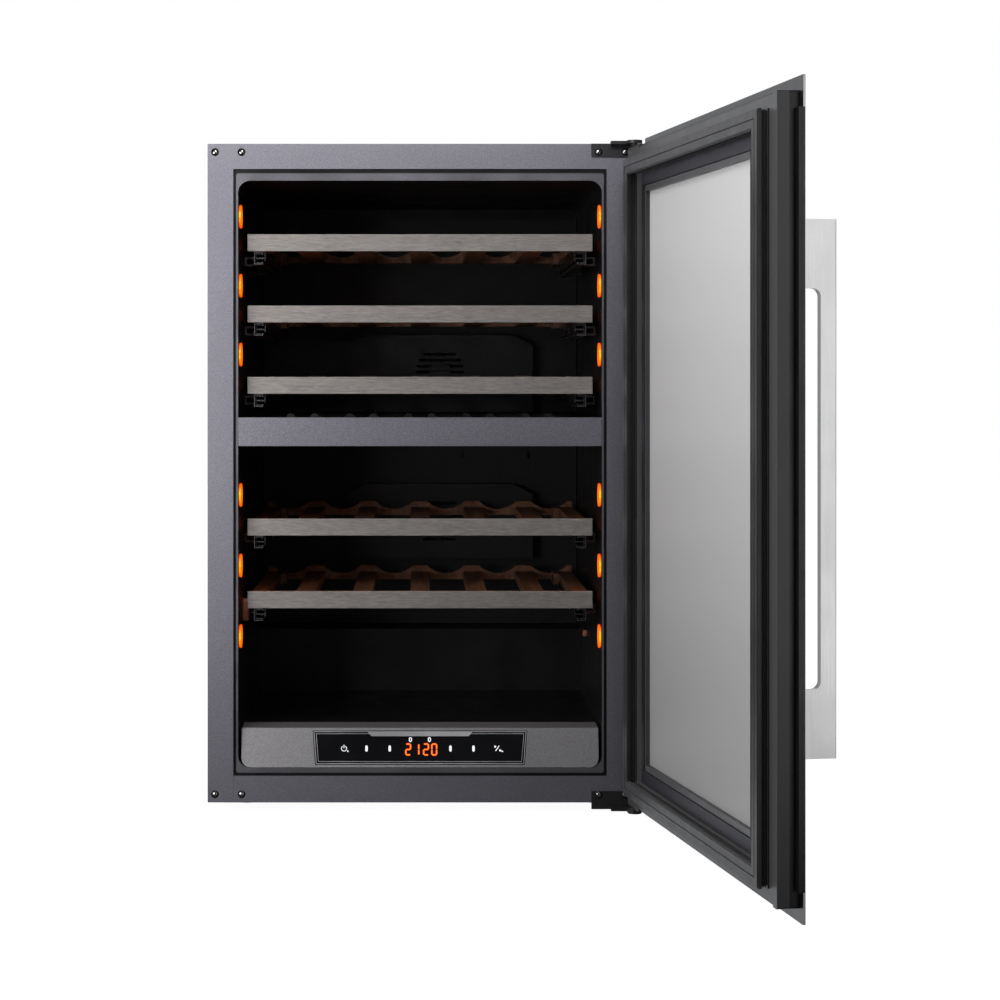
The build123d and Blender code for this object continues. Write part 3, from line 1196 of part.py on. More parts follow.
def door_parts():
    """Everything that swings with the door, in its closed place."""
    return {
        "door_panel": door_panel(),
        "edge_trims": edge_trims(),
        "outer_pane": pane(outer_pane_y()),
        "inner_pane": pane(inner_pane_y()),
        "glass_spacer": glass_spacer(),
        "door_frame": door_frame(),
        "window_bezel": window_bezel(),
        "door_gasket": door_gasket(),
        "door_handle": door_handle(),
        "handle_screws": handle_screws(),
        "hinge_bushes": hinge_bushes(),
    }


def shelf_parts():
    """Each shelf's rack, fascia and moving slide members, numbered from the top."""
    parts = {}
    for number, shelf in enumerate(SHELF_Z, start=1):
        parts[f"shelf_{number}_rack"] = shelf_rack(shelf)
        parts[f"shelf_{number}_fascia"] = shelf_fascia(shelf)
        parts[f"shelf_{number}_slides"] = shelf_slides(shelf)
    return parts


os.makedirs("parts", exist_ok=True)
for name, shapes in (cabinet_parts() | fan_parts() | shelf_parts()).items():
    save(name, shapes)
for name, shapes in door_parts().items():
    save(name, swung(shapes))
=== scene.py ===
import json
import math

import bmesh
import bpy
from mathutils import Matrix, Vector


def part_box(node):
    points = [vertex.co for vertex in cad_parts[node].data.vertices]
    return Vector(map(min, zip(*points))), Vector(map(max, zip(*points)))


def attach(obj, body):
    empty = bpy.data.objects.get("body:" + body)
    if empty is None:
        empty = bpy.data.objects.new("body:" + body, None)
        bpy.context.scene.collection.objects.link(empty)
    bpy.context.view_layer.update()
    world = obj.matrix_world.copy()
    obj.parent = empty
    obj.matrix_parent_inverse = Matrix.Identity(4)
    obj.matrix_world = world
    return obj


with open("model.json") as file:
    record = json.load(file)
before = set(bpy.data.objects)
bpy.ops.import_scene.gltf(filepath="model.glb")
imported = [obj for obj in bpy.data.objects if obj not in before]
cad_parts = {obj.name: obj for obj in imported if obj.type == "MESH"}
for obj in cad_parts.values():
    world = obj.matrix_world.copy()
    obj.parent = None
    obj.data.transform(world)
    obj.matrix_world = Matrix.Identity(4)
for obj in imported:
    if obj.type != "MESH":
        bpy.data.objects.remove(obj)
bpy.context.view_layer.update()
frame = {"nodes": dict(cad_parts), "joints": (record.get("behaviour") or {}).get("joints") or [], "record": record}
JOINTS = {joint["name"]: joint for joint in frame["joints"]}
DOOR_TURN = -math.radians(JOINTS["door_hinge"]["range_deg"][0])
MM = 0.001


# ---------------------------------------------------------------- node helpers
def add(tree, kind, inputs=None, **settings):
    """Make a shader node: settings are its properties, inputs are values or sockets to link."""
    made = tree.nodes.new(kind)
    for key, value in settings.items():
        setattr(made, key, value)
    for key, value in (inputs or {}).items():
        if isinstance(value, bpy.types.NodeSocket):
            tree.links.new(value, made.inputs[key])
        else:
            made.inputs[key].default_value = value
    return made


def rgba(colour):
    return (*colour, 1.0)


def new_material(name):
    mat = bpy.data.materials.new(name)
    mat.use_nodes = True
    mat.node_tree.nodes.clear()
    return mat, mat.node_tree


def place(tree, scale=(1, 1, 1), turn=0.0):
    """Coordinates fixed to the piece, turned about Z and scaled, to stretch a pattern along one direction."""
    where = add(tree, "ShaderNodeTexCoord").outputs["Object"]
    turned = add(tree, "ShaderNodeMapping", {"Vector": where, "Rotation": (0, 0, turn)})
    stretched = add(tree, "ShaderNodeMapping", {"Vector": turned.outputs[0], "Scale": scale})
    return stretched.outputs[0]


def noise(tree, vector, scale, detail=3.0, roughness=0.55, distortion=0.0):
    made = add(tree, "ShaderNodeTexNoise", {
        "Vector": vector, "Scale": scale, "Detail": detail, "Roughness": roughness, "Distortion": distortion,
    })
    return made.outputs["Fac"]


def ramp(tree, fac, stops):
    """Colour ramp; stops are (position, grey value or colour)."""
    made = add(tree, "ShaderNodeValToRGB", {"Fac": fac})
    elements = made.color_ramp.elements
    while len(elements) < len(stops):
        elements.new(0.5)
    for element, (position, value) in zip(elements, stops):
        element.position = position
        element.color = rgba(value if isinstance(value, tuple) else (value, value, value))
    return made.outputs["Color"]


def spread(tree, fac, low, high, start=0.3, end=0.7):
    """Map a value onto a range, clamped at its ends."""
    made = add(tree, "ShaderNodeMapRange", {
        "Value": fac, "From Min": start, "From Max": end, "To Min": low, "To Max": high,
    })
    return made.outputs["Result"]


def bump(tree, height, distance, strength):
    made = add(tree, "ShaderNodeBump", {"Height": height, "Distance": distance, "Strength": strength})
    return made.outputs["Normal"]


def finish_shader(tree, **sockets):
    """Principled surface, its sockets given by name with underscores for spaces."""
    inputs = {key.replace("_", " "): value for key, value in sockets.items()}
    shader = add(tree, "ShaderNodeBsdfPrincipled", inputs)
    out = add(tree, "ShaderNodeOutputMaterial")
    tree.links.new(shader.outputs[0], out.inputs["Surface"])


def shade(colour, factor):
    """Darker or lighter copy of a colour."""
    return tuple(min(1.0, channel * factor) for channel in colour)


# ---------------------------------------------------------------- materials
def textured_paint(name, colour, rough=0.42, metal=0.85, grain=650.0):
    """Metallic powder coat: fine bumps with lighter and darker flakes."""
    mat, tree = new_material(name)
    where = place(tree)
    flakes = noise(tree, where, grain * 1.6, 2.0)
    lumps = noise(tree, where, grain, 3.0, 0.6)
    clouds = noise(tree, where, 9.0, 2.0)
    base = ramp(tree, flakes, [(0.32, shade(colour, 0.72)), (0.52, colour), (0.72, shade(colour, 1.35))])
    tint = add(tree, "ShaderNodeMix", {
        "Factor": spread(tree, clouds, 0.0, 0.14), "A": base, "B": rgba(shade(colour, 0.7)),
    }, data_type="RGBA")
    finish_shader(
        tree, Base_Color=tint.outputs["Result"], Metallic=metal,
        Roughness=spread(tree, lumps, rough - 0.06, rough + 0.08),
        Normal=bump(tree, lumps, 0.00012, 0.5),
    )
    return mat


def brushed_metal(
    name, colour, along, rough=0.32, turn=0.0, contrast=0.1, fine=1400.0, coarse=14.0, depth=0.00003,
):
    """Metal with fine parallel scratches; along is the scratch direction's axis: 0 X, 1 Y or 2 Z."""
    mat, tree = new_material(name)
    scale = [fine, fine, fine]
    scale[along] = coarse
    where = place(tree, tuple(scale), turn)
    lines = noise(tree, where, 1.0, 4.0, 0.65)
    smudge = noise(tree, place(tree), 14.0, 2.0)
    dark, light = shade(colour, 1 - contrast), shade(colour, 1 + contrast)
    base = ramp(tree, lines, [(0.3, dark), (0.5, colour), (0.7, light)])
    finish_shader(
        tree, Base_Color=base, Metallic=1.0,
        Roughness=add(tree, "ShaderNodeMath", {
            0: spread(tree, lines, rough - 0.05, rough + 0.07), 1: spread(tree, smudge, -0.03, 0.04),
        }, operation="ADD").outputs[0],
        Normal=bump(tree, lines, depth, 0.5),
    )
    return mat


def painted_back_shade(made, direction, colour):
    """Paint shade into a material where the piece faces a direction given in its own axes: that side takes a
    darker colour standing in for the shade it lies in.
    """
    tree = made.node_tree
    shader = next(node for node in tree.nodes if node.type == "BSDF_PRINCIPLED")
    normal = add(tree, "ShaderNodeTexCoord").outputs["Normal"]
    away = add(tree, "ShaderNodeVectorMath", {0: normal, 1: direction}, operation="DOT_PRODUCT")
    mask = spread(tree, away.outputs["Value"], 0.0, 1.0, 0.6, 0.8)
    old = shader.inputs["Base Color"].links[0].from_socket
    mixed = add(tree, "ShaderNodeMix", {"Factor": mask, "A": old, "B": rgba(colour)}, data_type="RGBA")
    tree.links.new(mixed.outputs["Result"], shader.inputs["Base Color"])
    return made


def fascia_metal(name, colour):
    """Warm grey rolled strip with a wavy cross-hatched grain along its length."""
    mat, tree = new_material(name)
    waves = noise(tree, place(tree, (70.0, 200.0, 520.0)), 1.0, 5.0, 0.62, 0.6)
    lines = noise(tree, place(tree, (25.0, 900.0, 1500.0)), 1.0, 3.0, 0.6)
    mixed = add(tree, "ShaderNodeMath", {0: waves, 1: spread(tree, lines, -0.12, 0.12)}, operation="ADD")
    stops = [(0.3, shade(colour, 0.78)), (0.5, colour), (0.7, shade(colour, 1.22))]
    base = ramp(tree, mixed.outputs[0], stops)
    finish_shader(
        tree, Base_Color=base, Metallic=0.75, Roughness=spread(tree, mixed.outputs[0], 0.36, 0.5),
        Normal=bump(tree, mixed.outputs[0], 0.00005, 0.5),
    )
    return mat


def moulded_plastic(name, colour, rough=0.4, grain=1500.0, depth=0.00004, coat=0.0):
    """Moulded plastic with a fine eroded grain and slight cloudiness."""
    mat, tree = new_material(name)
    where = place(tree)
    pits = noise(tree, where, grain, 2.0, 0.5)
    clouds = noise(tree, where, 22.0, 3.0)
    base = ramp(tree, clouds, [(0.3, shade(colour, 0.82)), (0.7, shade(colour, 1.25))])
    finish_shader(
        tree, Base_Color=base, Roughness=spread(tree, clouds, rough - 0.05, rough + 0.08),
        Coat_Weight=coat, Coat_Roughness=0.08, Normal=bump(tree, pits, depth, 0.6),
    )
    return mat


def rubber(name, colour, rough=0.48):
    """Matt rubber with a little pale dust."""
    mat, tree = new_material(name)
    where = place(tree)
    dust = noise(tree, where, 60.0, 4.0, 0.6)
    skin = noise(tree, where, 2200.0, 2.0)
    base = ramp(tree, dust, [(0.35, colour), (0.75, shade(colour, 1.7))])
    finish_shader(
        tree, Base_Color=base, Roughness=spread(tree, dust, rough, rough + 0.15), Sheen_Weight=0.15,
        Sheen_Roughness=0.5, Normal=bump(tree, skin, 0.00003, 0.5),
    )
    return mat


def wood(name, dark, middle, light):
    """Oiled beech strips: long grain front to back, with pores and slow colour change."""
    mat, tree = new_material(name)
    warp = noise(tree, place(tree), 6.0, 2.0)
    rings = noise(tree, place(tree, (55.0, 3.2, 55.0)), 1.0, 5.0, 0.62, 0.8)
    pores = noise(tree, place(tree, (900.0, 22.0, 900.0)), 1.0, 2.0)
    base = ramp(tree, rings, [(0.28, dark), (0.5, middle), (0.74, light)])
    pored = add(tree, "ShaderNodeMix", {
        "Factor": spread(tree, pores, 0.0, 0.4, 0.55, 0.72), "A": base, "B": rgba(shade(dark, 0.55)),
    }, data_type="RGBA")
    finish_shader(
        tree, Base_Color=pored.outputs["Result"], Roughness=spread(tree, warp, 0.42, 0.58),
        Normal=bump(tree, pores, 0.00006, 0.5),
    )
    return mat


def smoked_glass(name, colour, sheen_grey):
    """Tinted pane: clear when looked through squarely, a painted flat grey sheen in place of a blurred reflection
    when seen edge on, lighter at the top and darker at the bottom.
    """
    mat, tree = new_material(name)
    film = noise(tree, place(tree), 5.0, 2.0)
    facing = add(tree, "ShaderNodeLayerWeight", {"Blend": 0.5}).outputs["Facing"]
    sheen = spread(tree, facing, 0.0, 1.0, 0.55, 0.67)
    height = add(tree, "ShaderNodeSeparateXYZ", {"Vector": place(tree)}).outputs["Z"]
    # painted light: the edge-on sheen is darker towards the bottom and lighter towards the top, standing in for
    # light falling from above
    painted_sheen = ramp(tree, spread(tree, height, 0.0, 1.0, 0.05, 0.85), [(0.0, shade(sheen_grey, 0.5)), (1.0, sheen_grey)])
    base = add(tree, "ShaderNodeMix", {"Factor": sheen, "A": rgba(colour), "B": painted_sheen}, data_type="RGBA")
    rough = add(tree, "ShaderNodeMath", {
        0: spread(tree, film, 0.0, 0.02), 1: spread(tree, sheen, 0.0, 0.4, 0.0, 1.0),
    }, operation="ADD")
    finish_shader(
        tree, Base_Color=base.outputs["Result"], Transmission_Weight=spread(tree, sheen, 1.0, 0.0, 0.0, 1.0),
        IOR=1.3, Roughness=rough.outputs[0],
    )
    return mat


def amber_lamp(name):
    """Lit amber dome: a mottled yellow streak down the front of its oval, orange and red round it."""
    mat, tree = new_material(name)
    normal = add(tree, "ShaderNodeTexCoord").outputs["Normal"]
    parts = add(tree, "ShaderNodeSeparateXYZ", {"Vector": normal})
    sideways = add(tree, "ShaderNodeMath", {0: parts.outputs["X"]}, operation="ABSOLUTE").outputs[0]
    # how squarely the dome faces a direction 30 degrees inward from straight ahead
    inward = add(tree, "ShaderNodeMath", {0: sideways, 1: 0.5}, operation="MULTIPLY").outputs[0]
    ahead = add(tree, "ShaderNodeMath", {
        0: parts.outputs["Y"], 1: -0.866, 2: inward,
    }, operation="MULTIPLY_ADD")
    cells = noise(tree, place(tree), 330.0, 2.0, 0.6, 0.6)
    speckle = spread(tree, cells, -0.14, 0.1)
    mixed = add(tree, "ShaderNodeMath", {0: ahead.outputs[0], 1: speckle}, operation="ADD")
    light = ramp(tree, mixed.outputs[0], [
        (0.0, (0.7, 0.02, 0.0)), (0.35, (1.0, 0.075, 0.0)), (0.72, (1.0, 0.2, 0.0)), (0.9, (1.0, 0.55, 0.01)),
        (1.0, (1.0, 0.85, 0.1)),
    ])
    finish_shader(
        tree, Base_Color=rgba((0.5, 0.1, 0.01)), Roughness=0.12, Emission_Color=light,
        Emission_Strength=1.25, Coat_Weight=0.5,
    )
    return mat


def screw_with_painted_shade(name):
    """Screw head: polished dome in the middle, with painted shade on its flank, which is made near black."""
    mat, tree = new_material(name)
    normal = add(tree, "ShaderNodeTexCoord").outputs["Normal"]
    ahead = add(tree, "ShaderNodeMath", {
        0: add(tree, "ShaderNodeSeparateXYZ", {"Vector": normal}).outputs["Y"],
    }, operation="ABSOLUTE").outputs[0]
    wear = noise(tree, place(tree), 900.0, 2.0)
    # painted shade: near black where the head's surface turns away from straight ahead, light only in the middle
    base = ramp(tree, ahead, [(0.6, 0.012), (0.86, 0.03), (0.94, 0.5), (1.0, 0.75)])
    finish_shader(
        tree, Base_Color=base, Metallic=spread(tree, ahead, 0.2, 1.0, 0.7, 0.92),
        Roughness=spread(tree, wear, 0.1, 0.22),
    )
    return mat


def two_sided_tub(name, rim, inside, edge):
    """Formed liner: metallic grey on the rim in front of the edge depth, glossy black behind it."""
    mat, tree = new_material(name)
    where = place(tree)
    depth = add(tree, "ShaderNodeSeparateXYZ", {"Vector": where}).outputs["Y"]
    deep = spread(tree, depth, 0.0, 1.0, edge, edge + 0.0006)
    clouds = noise(tree, where, 20.0, 3.0)
    pits = noise(tree, where, 1300.0, 2.0)
    black = ramp(tree, clouds, [(0.3, shade(inside, 0.8)), (0.7, shade(inside, 1.3))])
    grey = ramp(tree, pits, [(0.3, shade(rim, 0.85)), (0.7, shade(rim, 1.15))])
    base = add(tree, "ShaderNodeMix", {"Factor": deep, "A": grey, "B": black}, data_type="RGBA")
    finish_shader(
        tree, Base_Color=base.outputs["Result"], Metallic=spread(tree, deep, 0.8, 0.0, 0.0, 1.0),
        Roughness=spread(tree, clouds, 0.28, 0.4), Normal=bump(tree, pits, 0.00003, 0.5),
    )
    return mat


def layered_frame(name, face_height, band, face, side, skirt):
    """Door frame plastic: grey inner face, dark grey band on its sides and a black skirt by the panel."""
    mat, tree = new_material(name)
    where = place(tree, turn=-DOOR_TURN)
    depth = add(tree, "ShaderNodeSeparateXYZ", {"Vector": where}).outputs["Y"]
    clouds = noise(tree, where, 16.0, 3.0)
    pits = noise(tree, where, 1100.0, 2.0)
    # painted shade: the face grey stops half a millimetre below the inner face, so the rebate cut into it takes
    # the darker side grey
    inner = spread(tree, depth, 0.0, 1.0, face_height - 0.0008, face_height - 0.0003)
    outer = spread(tree, depth, 1.0, 0.0, face_height - band - 0.0003, face_height - band + 0.0003)
    grey = ramp(tree, clouds, [(0.3, shade(side, 0.85)), (0.7, shade(side, 1.15))])
    with_face = add(tree, "ShaderNodeMix", {"Factor": inner, "A": grey, "B": rgba(face)}, data_type="RGBA")
    base = add(tree, "ShaderNodeMix", {
        "Factor": outer, "A": with_face.outputs["Result"], "B": rgba(skirt),
    }, data_type="RGBA")
    finish_shader(
        tree, Base_Color=base.outputs["Result"], Roughness=spread(tree, clouds, 0.3, 0.4),
        Normal=bump(tree, pits, 0.00003, 0.5),
    )
    return mat


def glowing(name, colour, strength):
    """Lit symbol with a slightly uneven face."""
    mat, tree = new_material(name)
    cells = noise(tree, place(tree), 900.0, 2.0)
    light = ramp(tree, cells, [(0.3, shade(colour, 0.85)), (0.7, colour)])
    finish_shader(
        tree, Base_Color=rgba(shade(colour, 0.5)), Roughness=0.4, Emission_Color=light,
        Emission_Strength=strength,
    )
    return mat


def foam(name, colour):
    """Rigid foam with open cells."""
    mat, tree = new_material(name)
    cells = noise(tree, place(tree), 700.0, 4.0, 0.7)
    base = ramp(tree, cells, [(0.3, shade(colour, 0.7)), (0.7, colour)])
    finish_shader(tree, Base_Color=base, Roughness=0.9, Normal=bump(tree, cells, 0.0004, 0.8))
    return mat


FLANGE_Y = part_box("cabinet_wrap")[0].y
LIP_DEPTH = 1.2 * MM
DOOR_AXES = Matrix.Rotation(DOOR_TURN, 3, "Z")
DOOR_BACK = DOOR_AXES @ Vector((0, 1, 0))
# the door frame's inner face, as a depth in the door's closed place turned about the scene's origin
DOOR_FRAME_MESH = frame["nodes"]["door_frame"].data
FRAME_FACE = max((DOOR_AXES.transposed() @ vertex.co).y for vertex in DOOR_FRAME_MESH.vertices)
FRAME_BAND = 13.8 * MM
# by the material slot of each node
MATERIALS = {
    "grey_paint": textured_paint("grey_textured_paint", (0.30, 0.29, 0.335)),
    "zinc_steel": brushed_metal(
        "zinc_plated_steel", (0.13, 0.13, 0.14), 1, rough=0.26, contrast=0.12, fine=300.0,
    ),
    # painted shade: the door steel is made darker on its back face, where it faces into the cabinet
    "brushed_steel": painted_back_shade(
        brushed_metal("brushed_door_steel", (0.6, 0.6, 0.605), 2, rough=0.34, turn=-DOOR_TURN),
        DOOR_BACK, (0.17, 0.17, 0.172),
    ),
    "fascia_steel": fascia_metal("brushed_fascia", (0.36, 0.33, 0.315)),
    "hinge_steel": textured_paint("hinge_black_zinc", (0.07, 0.07, 0.075), rough=0.38),
    "screw_steel": screw_with_painted_shade("screw_steel"),
    "liner_black": two_sided_tub(
        "liner_tub", (0.24, 0.235, 0.26), (0.006, 0.006, 0.007), FLANGE_Y + LIP_DEPTH,
    ),
    "duct_black": moulded_plastic("duct_black", (0.007, 0.007, 0.009), rough=0.5, grain=420.0, depth=0.0003),
    "foam": foam("polyurethane_foam", (0.72, 0.6, 0.34)),
    "rail_black": brushed_metal("slide_rail_steel", (0.13, 0.13, 0.13), 1, rough=0.35, fine=500.0),
    "evaporator_metal": brushed_metal("evaporator_aluminium", (0.6, 0.61, 0.62), 0, rough=0.35, fine=300.0),
    "fan_plastic": moulded_plastic("fan_plastic", (0.02, 0.02, 0.021), rough=0.42),
    "board_green": moulded_plastic("circuit_board", (0.015, 0.1, 0.035), rough=0.35, grain=300.0, coat=0.4),
    "housing_grey": textured_paint("control_housing_grey", (0.34, 0.33, 0.345), rough=0.42, metal=0.6),
    "display_black": moulded_plastic("display_black", (0.003, 0.003, 0.004), rough=0.12, coat=1.0),
    "sensor_pink": moulded_plastic("sensor_cover", (0.5, 0.2, 0.13), rough=0.45),
    "compressor_black": textured_paint("compressor_enamel", (0.02, 0.02, 0.022), rough=0.35, metal=0.2),
    "rubber_black": rubber("mount_rubber", (0.012, 0.012, 0.012)),
    "condenser_metal": brushed_metal("condenser_fins", (0.62, 0.62, 0.62), 2, rough=0.35, fine=400.0),
    "tray_plastic": moulded_plastic("drip_tray_plastic", (0.55, 0.55, 0.52), rough=0.4),
    "copper": brushed_metal("copper_tube", (0.62, 0.25, 0.13), 2, rough=0.28, fine=300.0),
    "inlet_black": moulded_plastic("inlet_plastic", (0.015, 0.015, 0.016), rough=0.4),
    "module_white": moulded_plastic("module_case", (0.6, 0.6, 0.57), rough=0.45),
    "foot_black": moulded_plastic("foot_plastic", (0.02, 0.02, 0.02), rough=0.45),
    "door_black": layered_frame(
        "door_frame_plastic", FRAME_FACE, FRAME_BAND, (0.085, 0.085, 0.087), (0.045, 0.045, 0.047),
        (0.003, 0.003, 0.004),
    ),
    "trim_black": moulded_plastic("edge_trim_plastic", (0.006, 0.006, 0.007), rough=0.3),
    "smoked_glass": smoked_glass("smoked_glass", (0.72, 0.725, 0.73), (0.8, 0.8, 0.8)),
    "spacer_metal": brushed_metal("pane_spacer", (0.02, 0.02, 0.022), 2, rough=0.3),
    "bezel_grey": textured_paint("bezel_grey", (0.03, 0.03, 0.038), rough=0.4, metal=0.3),
    "gasket_black": rubber("door_gasket_rubber", (0.012, 0.012, 0.013), 0.28),
    "handle_steel": brushed_metal(
        "brushed_handle", (0.8, 0.8, 0.8), 2, rough=0.3, turn=-DOOR_TURN, contrast=0.06,
    ),
    "shelf_wood": wood("shelf_wood", (0.10, 0.045, 0.022), (0.2, 0.095, 0.05), (0.32, 0.17, 0.095)),
    "bush_black": moulded_plastic("bush_plastic", (0.02, 0.02, 0.02), rough=0.3),
    "amber_lens": amber_lamp("amber_lamp"),
}
SYMBOL_WHITE = glowing("symbol_white", (0.9, 0.92, 0.95), 0.9)
SYMBOL_RED = glowing("symbol_red", (1.0, 0.03, 0.002), 1.0)
SYMBOL_CORE = glowing("symbol_core", (1.0, 0.3, 0.02), 1.15)
PRINT_SILVER = moulded_plastic("display_print", (0.42, 0.42, 0.44), rough=0.35, grain=500.0)


# ---------------------------------------------------------------- CAD nodes
SLOT_OF = {part["node"]: part["material_slot"] for part in frame["record"]["subparts"]}
SMOOTH_ANGLE = math.radians(35)
BEVEL_ANGLE = math.radians(50)
# widths in millimetres
BEVELS = {
    "divider_trim": 0.8, "zone_divider": 0.8, "control_housing": 1.2, "door_frame": 0.9, "door_panel": 0.35,
    "edge_trims": 0.4, "door_handle": 0.5, "window_bezel": 0.3, "cabinet_wrap": 0.3, "base_pan": 0.2,
    "display_window": 0.4, "top_hinge": 0.4, "bottom_hinge": 0.4, "inner_liner": 0.6,
}
for name, obj in frame["nodes"].items():
    obj.data.materials.clear()
    obj.data.materials.append(MATERIALS[SLOT_OF[name]])
    obj.data.shade_smooth()
    obj.data.set_sharp_from_angle(angle=SMOOTH_ANGLE)
    if name in BEVELS:
        edge = obj.modifiers.new("soft_edge", "BEVEL")
        edge.width = BEVELS[name] * MM
        edge.segments = 2
        edge.limit_method = "ANGLE"
        edge.angle_limit = BEVEL_ANGLE
        edge.harden_normals = True


# ---------------------------------------------------------------- display print
def facing(node, direction):
    """Centre and outward normal of a node's largest flat area that faces a direction."""
    mesh = frame["nodes"][node].data
    areas = {}
    for polygon in mesh.polygons:
        if polygon.normal.dot(direction) > 0.8:
            key = tuple(round(value, 3) for value in polygon.normal)
            areas.setdefault(key, []).append(polygon)
    polygons = max(areas.values(), key=lambda group: sum(p.area for p in group))
    total = sum(p.area for p in polygons)
    centre = sum((p.center * p.area for p in polygons), Vector()) / total
    return centre, polygons[0].normal.copy()


display_centre, display_normal = facing("display_window", Vector((0, -1, 0)))
display_across = Vector((1, 0, 0))
display_up = display_normal.cross(display_across)
display_centre.x = 0.0


def printed(name, outlines, mat, lift=0.12, thick=0.1):
    """Flat shapes on the display face: each outline is a list of (across, up) points in millimetres."""
    mesh = bmesh.new()
    for outline in outlines:
        rings = []
        for height in (lift - thick, lift):
            offsets = [display_across * u + display_up * v + display_normal * height for u, v in outline]
            rings.append([mesh.verts.new(display_centre + offset * MM) for offset in offsets])
        mesh.faces.new(rings[1])
        mesh.faces.new(list(reversed(rings[0])))
        count = len(outline)
        for n in range(count):
            mesh.faces.new((rings[0][n], rings[0][(n + 1) % count], rings[1][(n + 1) % count], rings[1][n]))
    bmesh.ops.recalc_face_normals(mesh, faces=mesh.faces)
    data = bpy.data.meshes.new(name)
    mesh.to_mesh(data)
    mesh.free()
    data.materials.append(mat)
    obj = bpy.data.objects.new(name, data)
    bpy.context.scene.collection.objects.link(obj)
    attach(obj, "cabinet")
    return obj


def capsule(centre, size, steps=6):
    """Upright bar with round ends."""
    (u, v), (width, height) = centre, size
    radius, straight = width / 2, height / 2 - width / 2
    arc = [math.pi * n / steps for n in range(steps + 1)]
    top = [(u + radius * math.cos(a), v + straight + radius * math.sin(a)) for a in arc]
    bottom = [(u - radius * math.cos(a), v - straight - radius * math.sin(a)) for a in arc]
    return top + bottom


def bar(start, end, width):
    """Straight stroke between two points."""
    along = Vector(end) - Vector(start)
    side = Vector((-along.y, along.x)).normalized() * width / 2
    return [tuple(Vector(p) + s) for p, s in ((start, side), (start, -side), (end, -side), (end, side))]


def arc_strokes(centre, radius, width, begin, finish, steps=14):
    """Open ring drawn as short strokes."""
    angles = [math.radians(begin + (finish - begin) * n / steps) for n in range(steps + 1)]
    points = [(centre[0] + radius * math.cos(a), centre[1] + radius * math.sin(a)) for a in angles]
    return [bar(points[n], points[n + 1], width) for n in range(steps)]


DIGIT_WIDTH, DIGIT_HEIGHT, DIGIT_STROKE = 6.2, 14.0, 2.4
DIGIT_GAP, DIGIT_BOTTOM, CORE_SHARE = 4.6, -9.4, 0.45
SEGMENTS = {
    "a": ((0, 1), (1, 1)), "b": ((1, 1), (1, 0.5)), "c": ((1, 0.5), (1, 0)), "d": ((0, 0), (1, 0)),
    "e": ((0, 0), (0, 0.5)), "f": ((0, 0.5), (0, 1)), "g": ((0, 0.5), (1, 0.5)),
}
DIGITS = {"0": "abcdef", "1": "bc", "2": "abged"}


def seven_segment(text, left, stroke):
    """Strokes of a row of seven-segment digits, from its left end."""
    strokes = []
    for index, letter in enumerate(text):
        start = left + index * (DIGIT_WIDTH + DIGIT_GAP)
        for segment in DIGITS[letter]:
            ends = [
                Vector((start + x * DIGIT_WIDTH, DIGIT_BOTTOM + y * DIGIT_HEIGHT))
                for x, y in SEGMENTS[segment]
            ]
            along = (ends[1] - ends[0]).normalized() * stroke * 0.3
            strokes.append(bar(tuple(ends[0] + along), tuple(ends[1] - along), stroke))
    return strokes


def trapezoid_frame(top, bottom, half, width):
    """Closed tapered outline as four strokes."""
    corners = [(-bottom, -half), (bottom, -half), (top, half), (-top, half)]
    return [bar(corners[n], corners[(n + 1) % 4], width) for n in range(4)]


borders = trapezoid_frame(139.5, 136.2, 20.7, 0.9) + trapezoid_frame(136.6, 133.4, 18.0, 0.6)
printed("display_outline", borders, PRINT_SILVER)
printed("display_tab", [[(-64, 14.8), (64, 14.8), (69, 20.4), (-69, 20.4)]], PRINT_SILVER, lift=0.2)
printed("touch_bars", [capsule((u, -1.2), (3.2, 8.0)) for u in (-70.3, -39.8, 40.0, 70.3)], SYMBOL_WHITE)
power = arc_strokes((-99.9, -1.2), 3.4, 0.9, 120, 420)
power += [bar((-99.9, -0.6), (-99.9, 3.6), 0.9), capsule((-94.8, -4.6), (2.0, 2.0))]
unit = [
    bar((99.4, -4.4), (104.0, 2.4), 1.1), capsule((98.8, 1.2), (2.4, 2.8)),
    capsule((105.2, -3.6), (2.4, 2.8)), bar((106.4, -4.2), (109.2, -5.2), 1.4),
]
zone_marks = [stroke for u in (-12.6, 12.4) for stroke in (
    bar((u - 1.35, 8.2), (u - 1.35, 12.6), 1.2), bar((u + 1.35, 8.2), (u + 1.35, 12.6), 1.2),
    bar((u - 1.0, 8.0), (u + 1.0, 8.0), 1.3), bar((u - 1.0, 12.8), (u + 1.0, 12.8), 1.3),
)]
printed("touch_symbols", power + unit + zone_marks, SYMBOL_WHITE, lift=0.3, thick=0.28)
numbers = [("21", -18.6), ("20", 4.8)]
halo = [stroke for text, left in numbers for stroke in seven_segment(text, left, DIGIT_STROKE)]
core = [stroke for text, left in numbers for stroke in seven_segment(text, left, DIGIT_STROKE * CORE_SHARE)]
printed("digits", halo, SYMBOL_RED, lift=0.25, thick=0.22)
printed("digit_cores", core, SYMBOL_CORE, lift=0.4, thick=0.37)


# ---------------------------------------------------------------- stage, light and camera
FLOOR_HALF = 9.0


def stage_floor():
    """Pale floor under the part, hidden from reflections and bounced light."""
    mesh = bmesh.new()
    corners = ((-1, -1), (1, -1), (1, 1), (-1, 1))
    corners = [mesh.verts.new((x * FLOOR_HALF, y * FLOOR_HALF, 0)) for x, y in corners]
    mesh.faces.new(corners)
    data = bpy.data.meshes.new("floor")
    mesh.to_mesh(data)
    mesh.free()
    mat, tree = new_material("studio_floor")
    finish_shader(
        tree, Base_Color=rgba((0.5, 0.5, 0.5)), Roughness=0.9, Specular_IOR_Level=0.0,
        Emission_Color=(1, 1, 1, 1), Emission_Strength=0.93,
    )
    data.materials.append(mat)
    floor = bpy.data.objects.new("floor", data)
    floor.visible_glossy = False
    floor.visible_diffuse = False
    bpy.context.scene.collection.objects.link(floor)


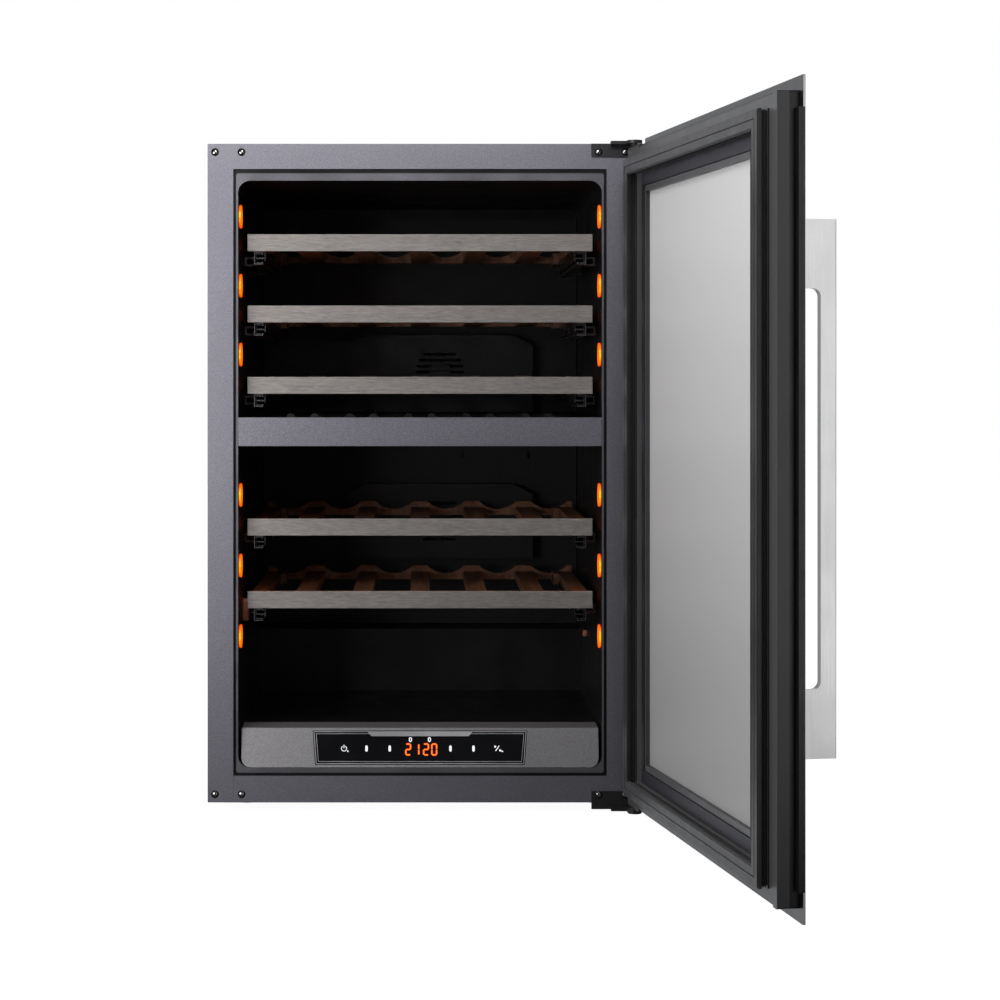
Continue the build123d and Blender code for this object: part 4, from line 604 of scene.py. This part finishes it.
def area_light(name, location, target, size, power, colour=(1, 1, 1)):
    lamp = bpy.data.lights.new(name, "AREA")
    lamp.shape = "RECTANGLE"
    lamp.size, lamp.size_y = size
    lamp.energy = power
    lamp.color = colour
    obj = bpy.data.objects.new(name, lamp)
    obj.location = location
    obj.rotation_euler = (Vector(target) - Vector(location)).to_track_quat("-Z", "Y").to_euler()
    obj.visible_camera = False
    obj.visible_transmission = False
    bpy.context.scene.collection.objects.link(obj)
    return obj


def studio_world():
    """White to the camera; to everything else a room with a bright back wall and a dim front."""
    world = bpy.data.worlds.new("studio")
    bpy.context.scene.world = world
    world.use_nodes = True
    tree = world.node_tree
    tree.nodes.clear()
    seen = add(tree, "ShaderNodeLightPath").outputs["Is Camera Ray"]
    way = add(tree, "ShaderNodeSeparateXYZ", {"Vector": add(tree, "ShaderNodeTexCoord").outputs["Generated"]})
    behind = spread(tree, way.outputs["Y"], 0.045, 0.6, -0.1, 0.5)
    white = add(tree, "ShaderNodeBackground", {"Color": (1, 1, 1, 1), "Strength": 1.0})
    room = add(tree, "ShaderNodeBackground", {"Color": (0.94, 0.96, 1.0, 1), "Strength": behind})
    both = add(tree, "ShaderNodeMixShader", {"Fac": seen})
    tree.links.new(room.outputs[0], both.inputs[1])
    tree.links.new(white.outputs[0], both.inputs[2])
    out = add(tree, "ShaderNodeOutputWorld")
    tree.links.new(both.outputs[0], out.inputs["Surface"])


stage_floor()
studio_world()
area_light("left_box", (-1.05, -1.45, 0.62), (-0.2, -0.27, 0.5), (0.9, 0.95), 15.0)
area_light("top_box", (-0.1, -1.15, 1.4), (-0.05, -0.27, 0.85), (0.9, 0.5), 5.5)
area_light("handle_box", (1.15, -1.95, 0.6), (0.47, -0.84, 0.5), (0.7, 1.5), 3.4)
area_light("ceiling", (0.2, 0.2, 2.6), (0, 0, 0), (2.5, 2.5), 14)
# the amber lamps' light on the liner walls: one strip beside each zone, left and right
GLOW_X, GLOW_Y, GLOW_HEIGHTS = 0.225, -0.2, (0.68, 0.33)
AMBER = (1.0, 0.32, 0.04)
for side in (-1, 1):
    for height in GLOW_HEIGHTS:
        place_at, towards = (side * GLOW_X, GLOW_Y, height), (0, GLOW_Y / 2, height)
        glow = area_light("lamp_glow", place_at, towards, (0.03, 0.25), 0.08, AMBER)
        glow.visible_glossy = False

CAMERA_DISTANCE = 2.822
CAMERA_HEIGHT = 0.5633
CAMERA_LENS = 77.5
CAMERA_SHIFT = (0.08, -0.115)
camera = bpy.data.cameras.new("camera")
camera.lens = CAMERA_LENS
camera.sensor_width = 36.0
camera.shift_x, camera.shift_y = CAMERA_SHIFT
camera_object = bpy.data.objects.new("camera", camera)
camera_object.location = (0, FLANGE_Y - CAMERA_DISTANCE, CAMERA_HEIGHT)
camera_object.rotation_euler = (math.radians(90), 0, 0)
bpy.context.scene.collection.objects.link(camera_object)
bpy.context.scene.camera = camera_object
bpy.context.scene.view_settings.view_transform = "Standard"
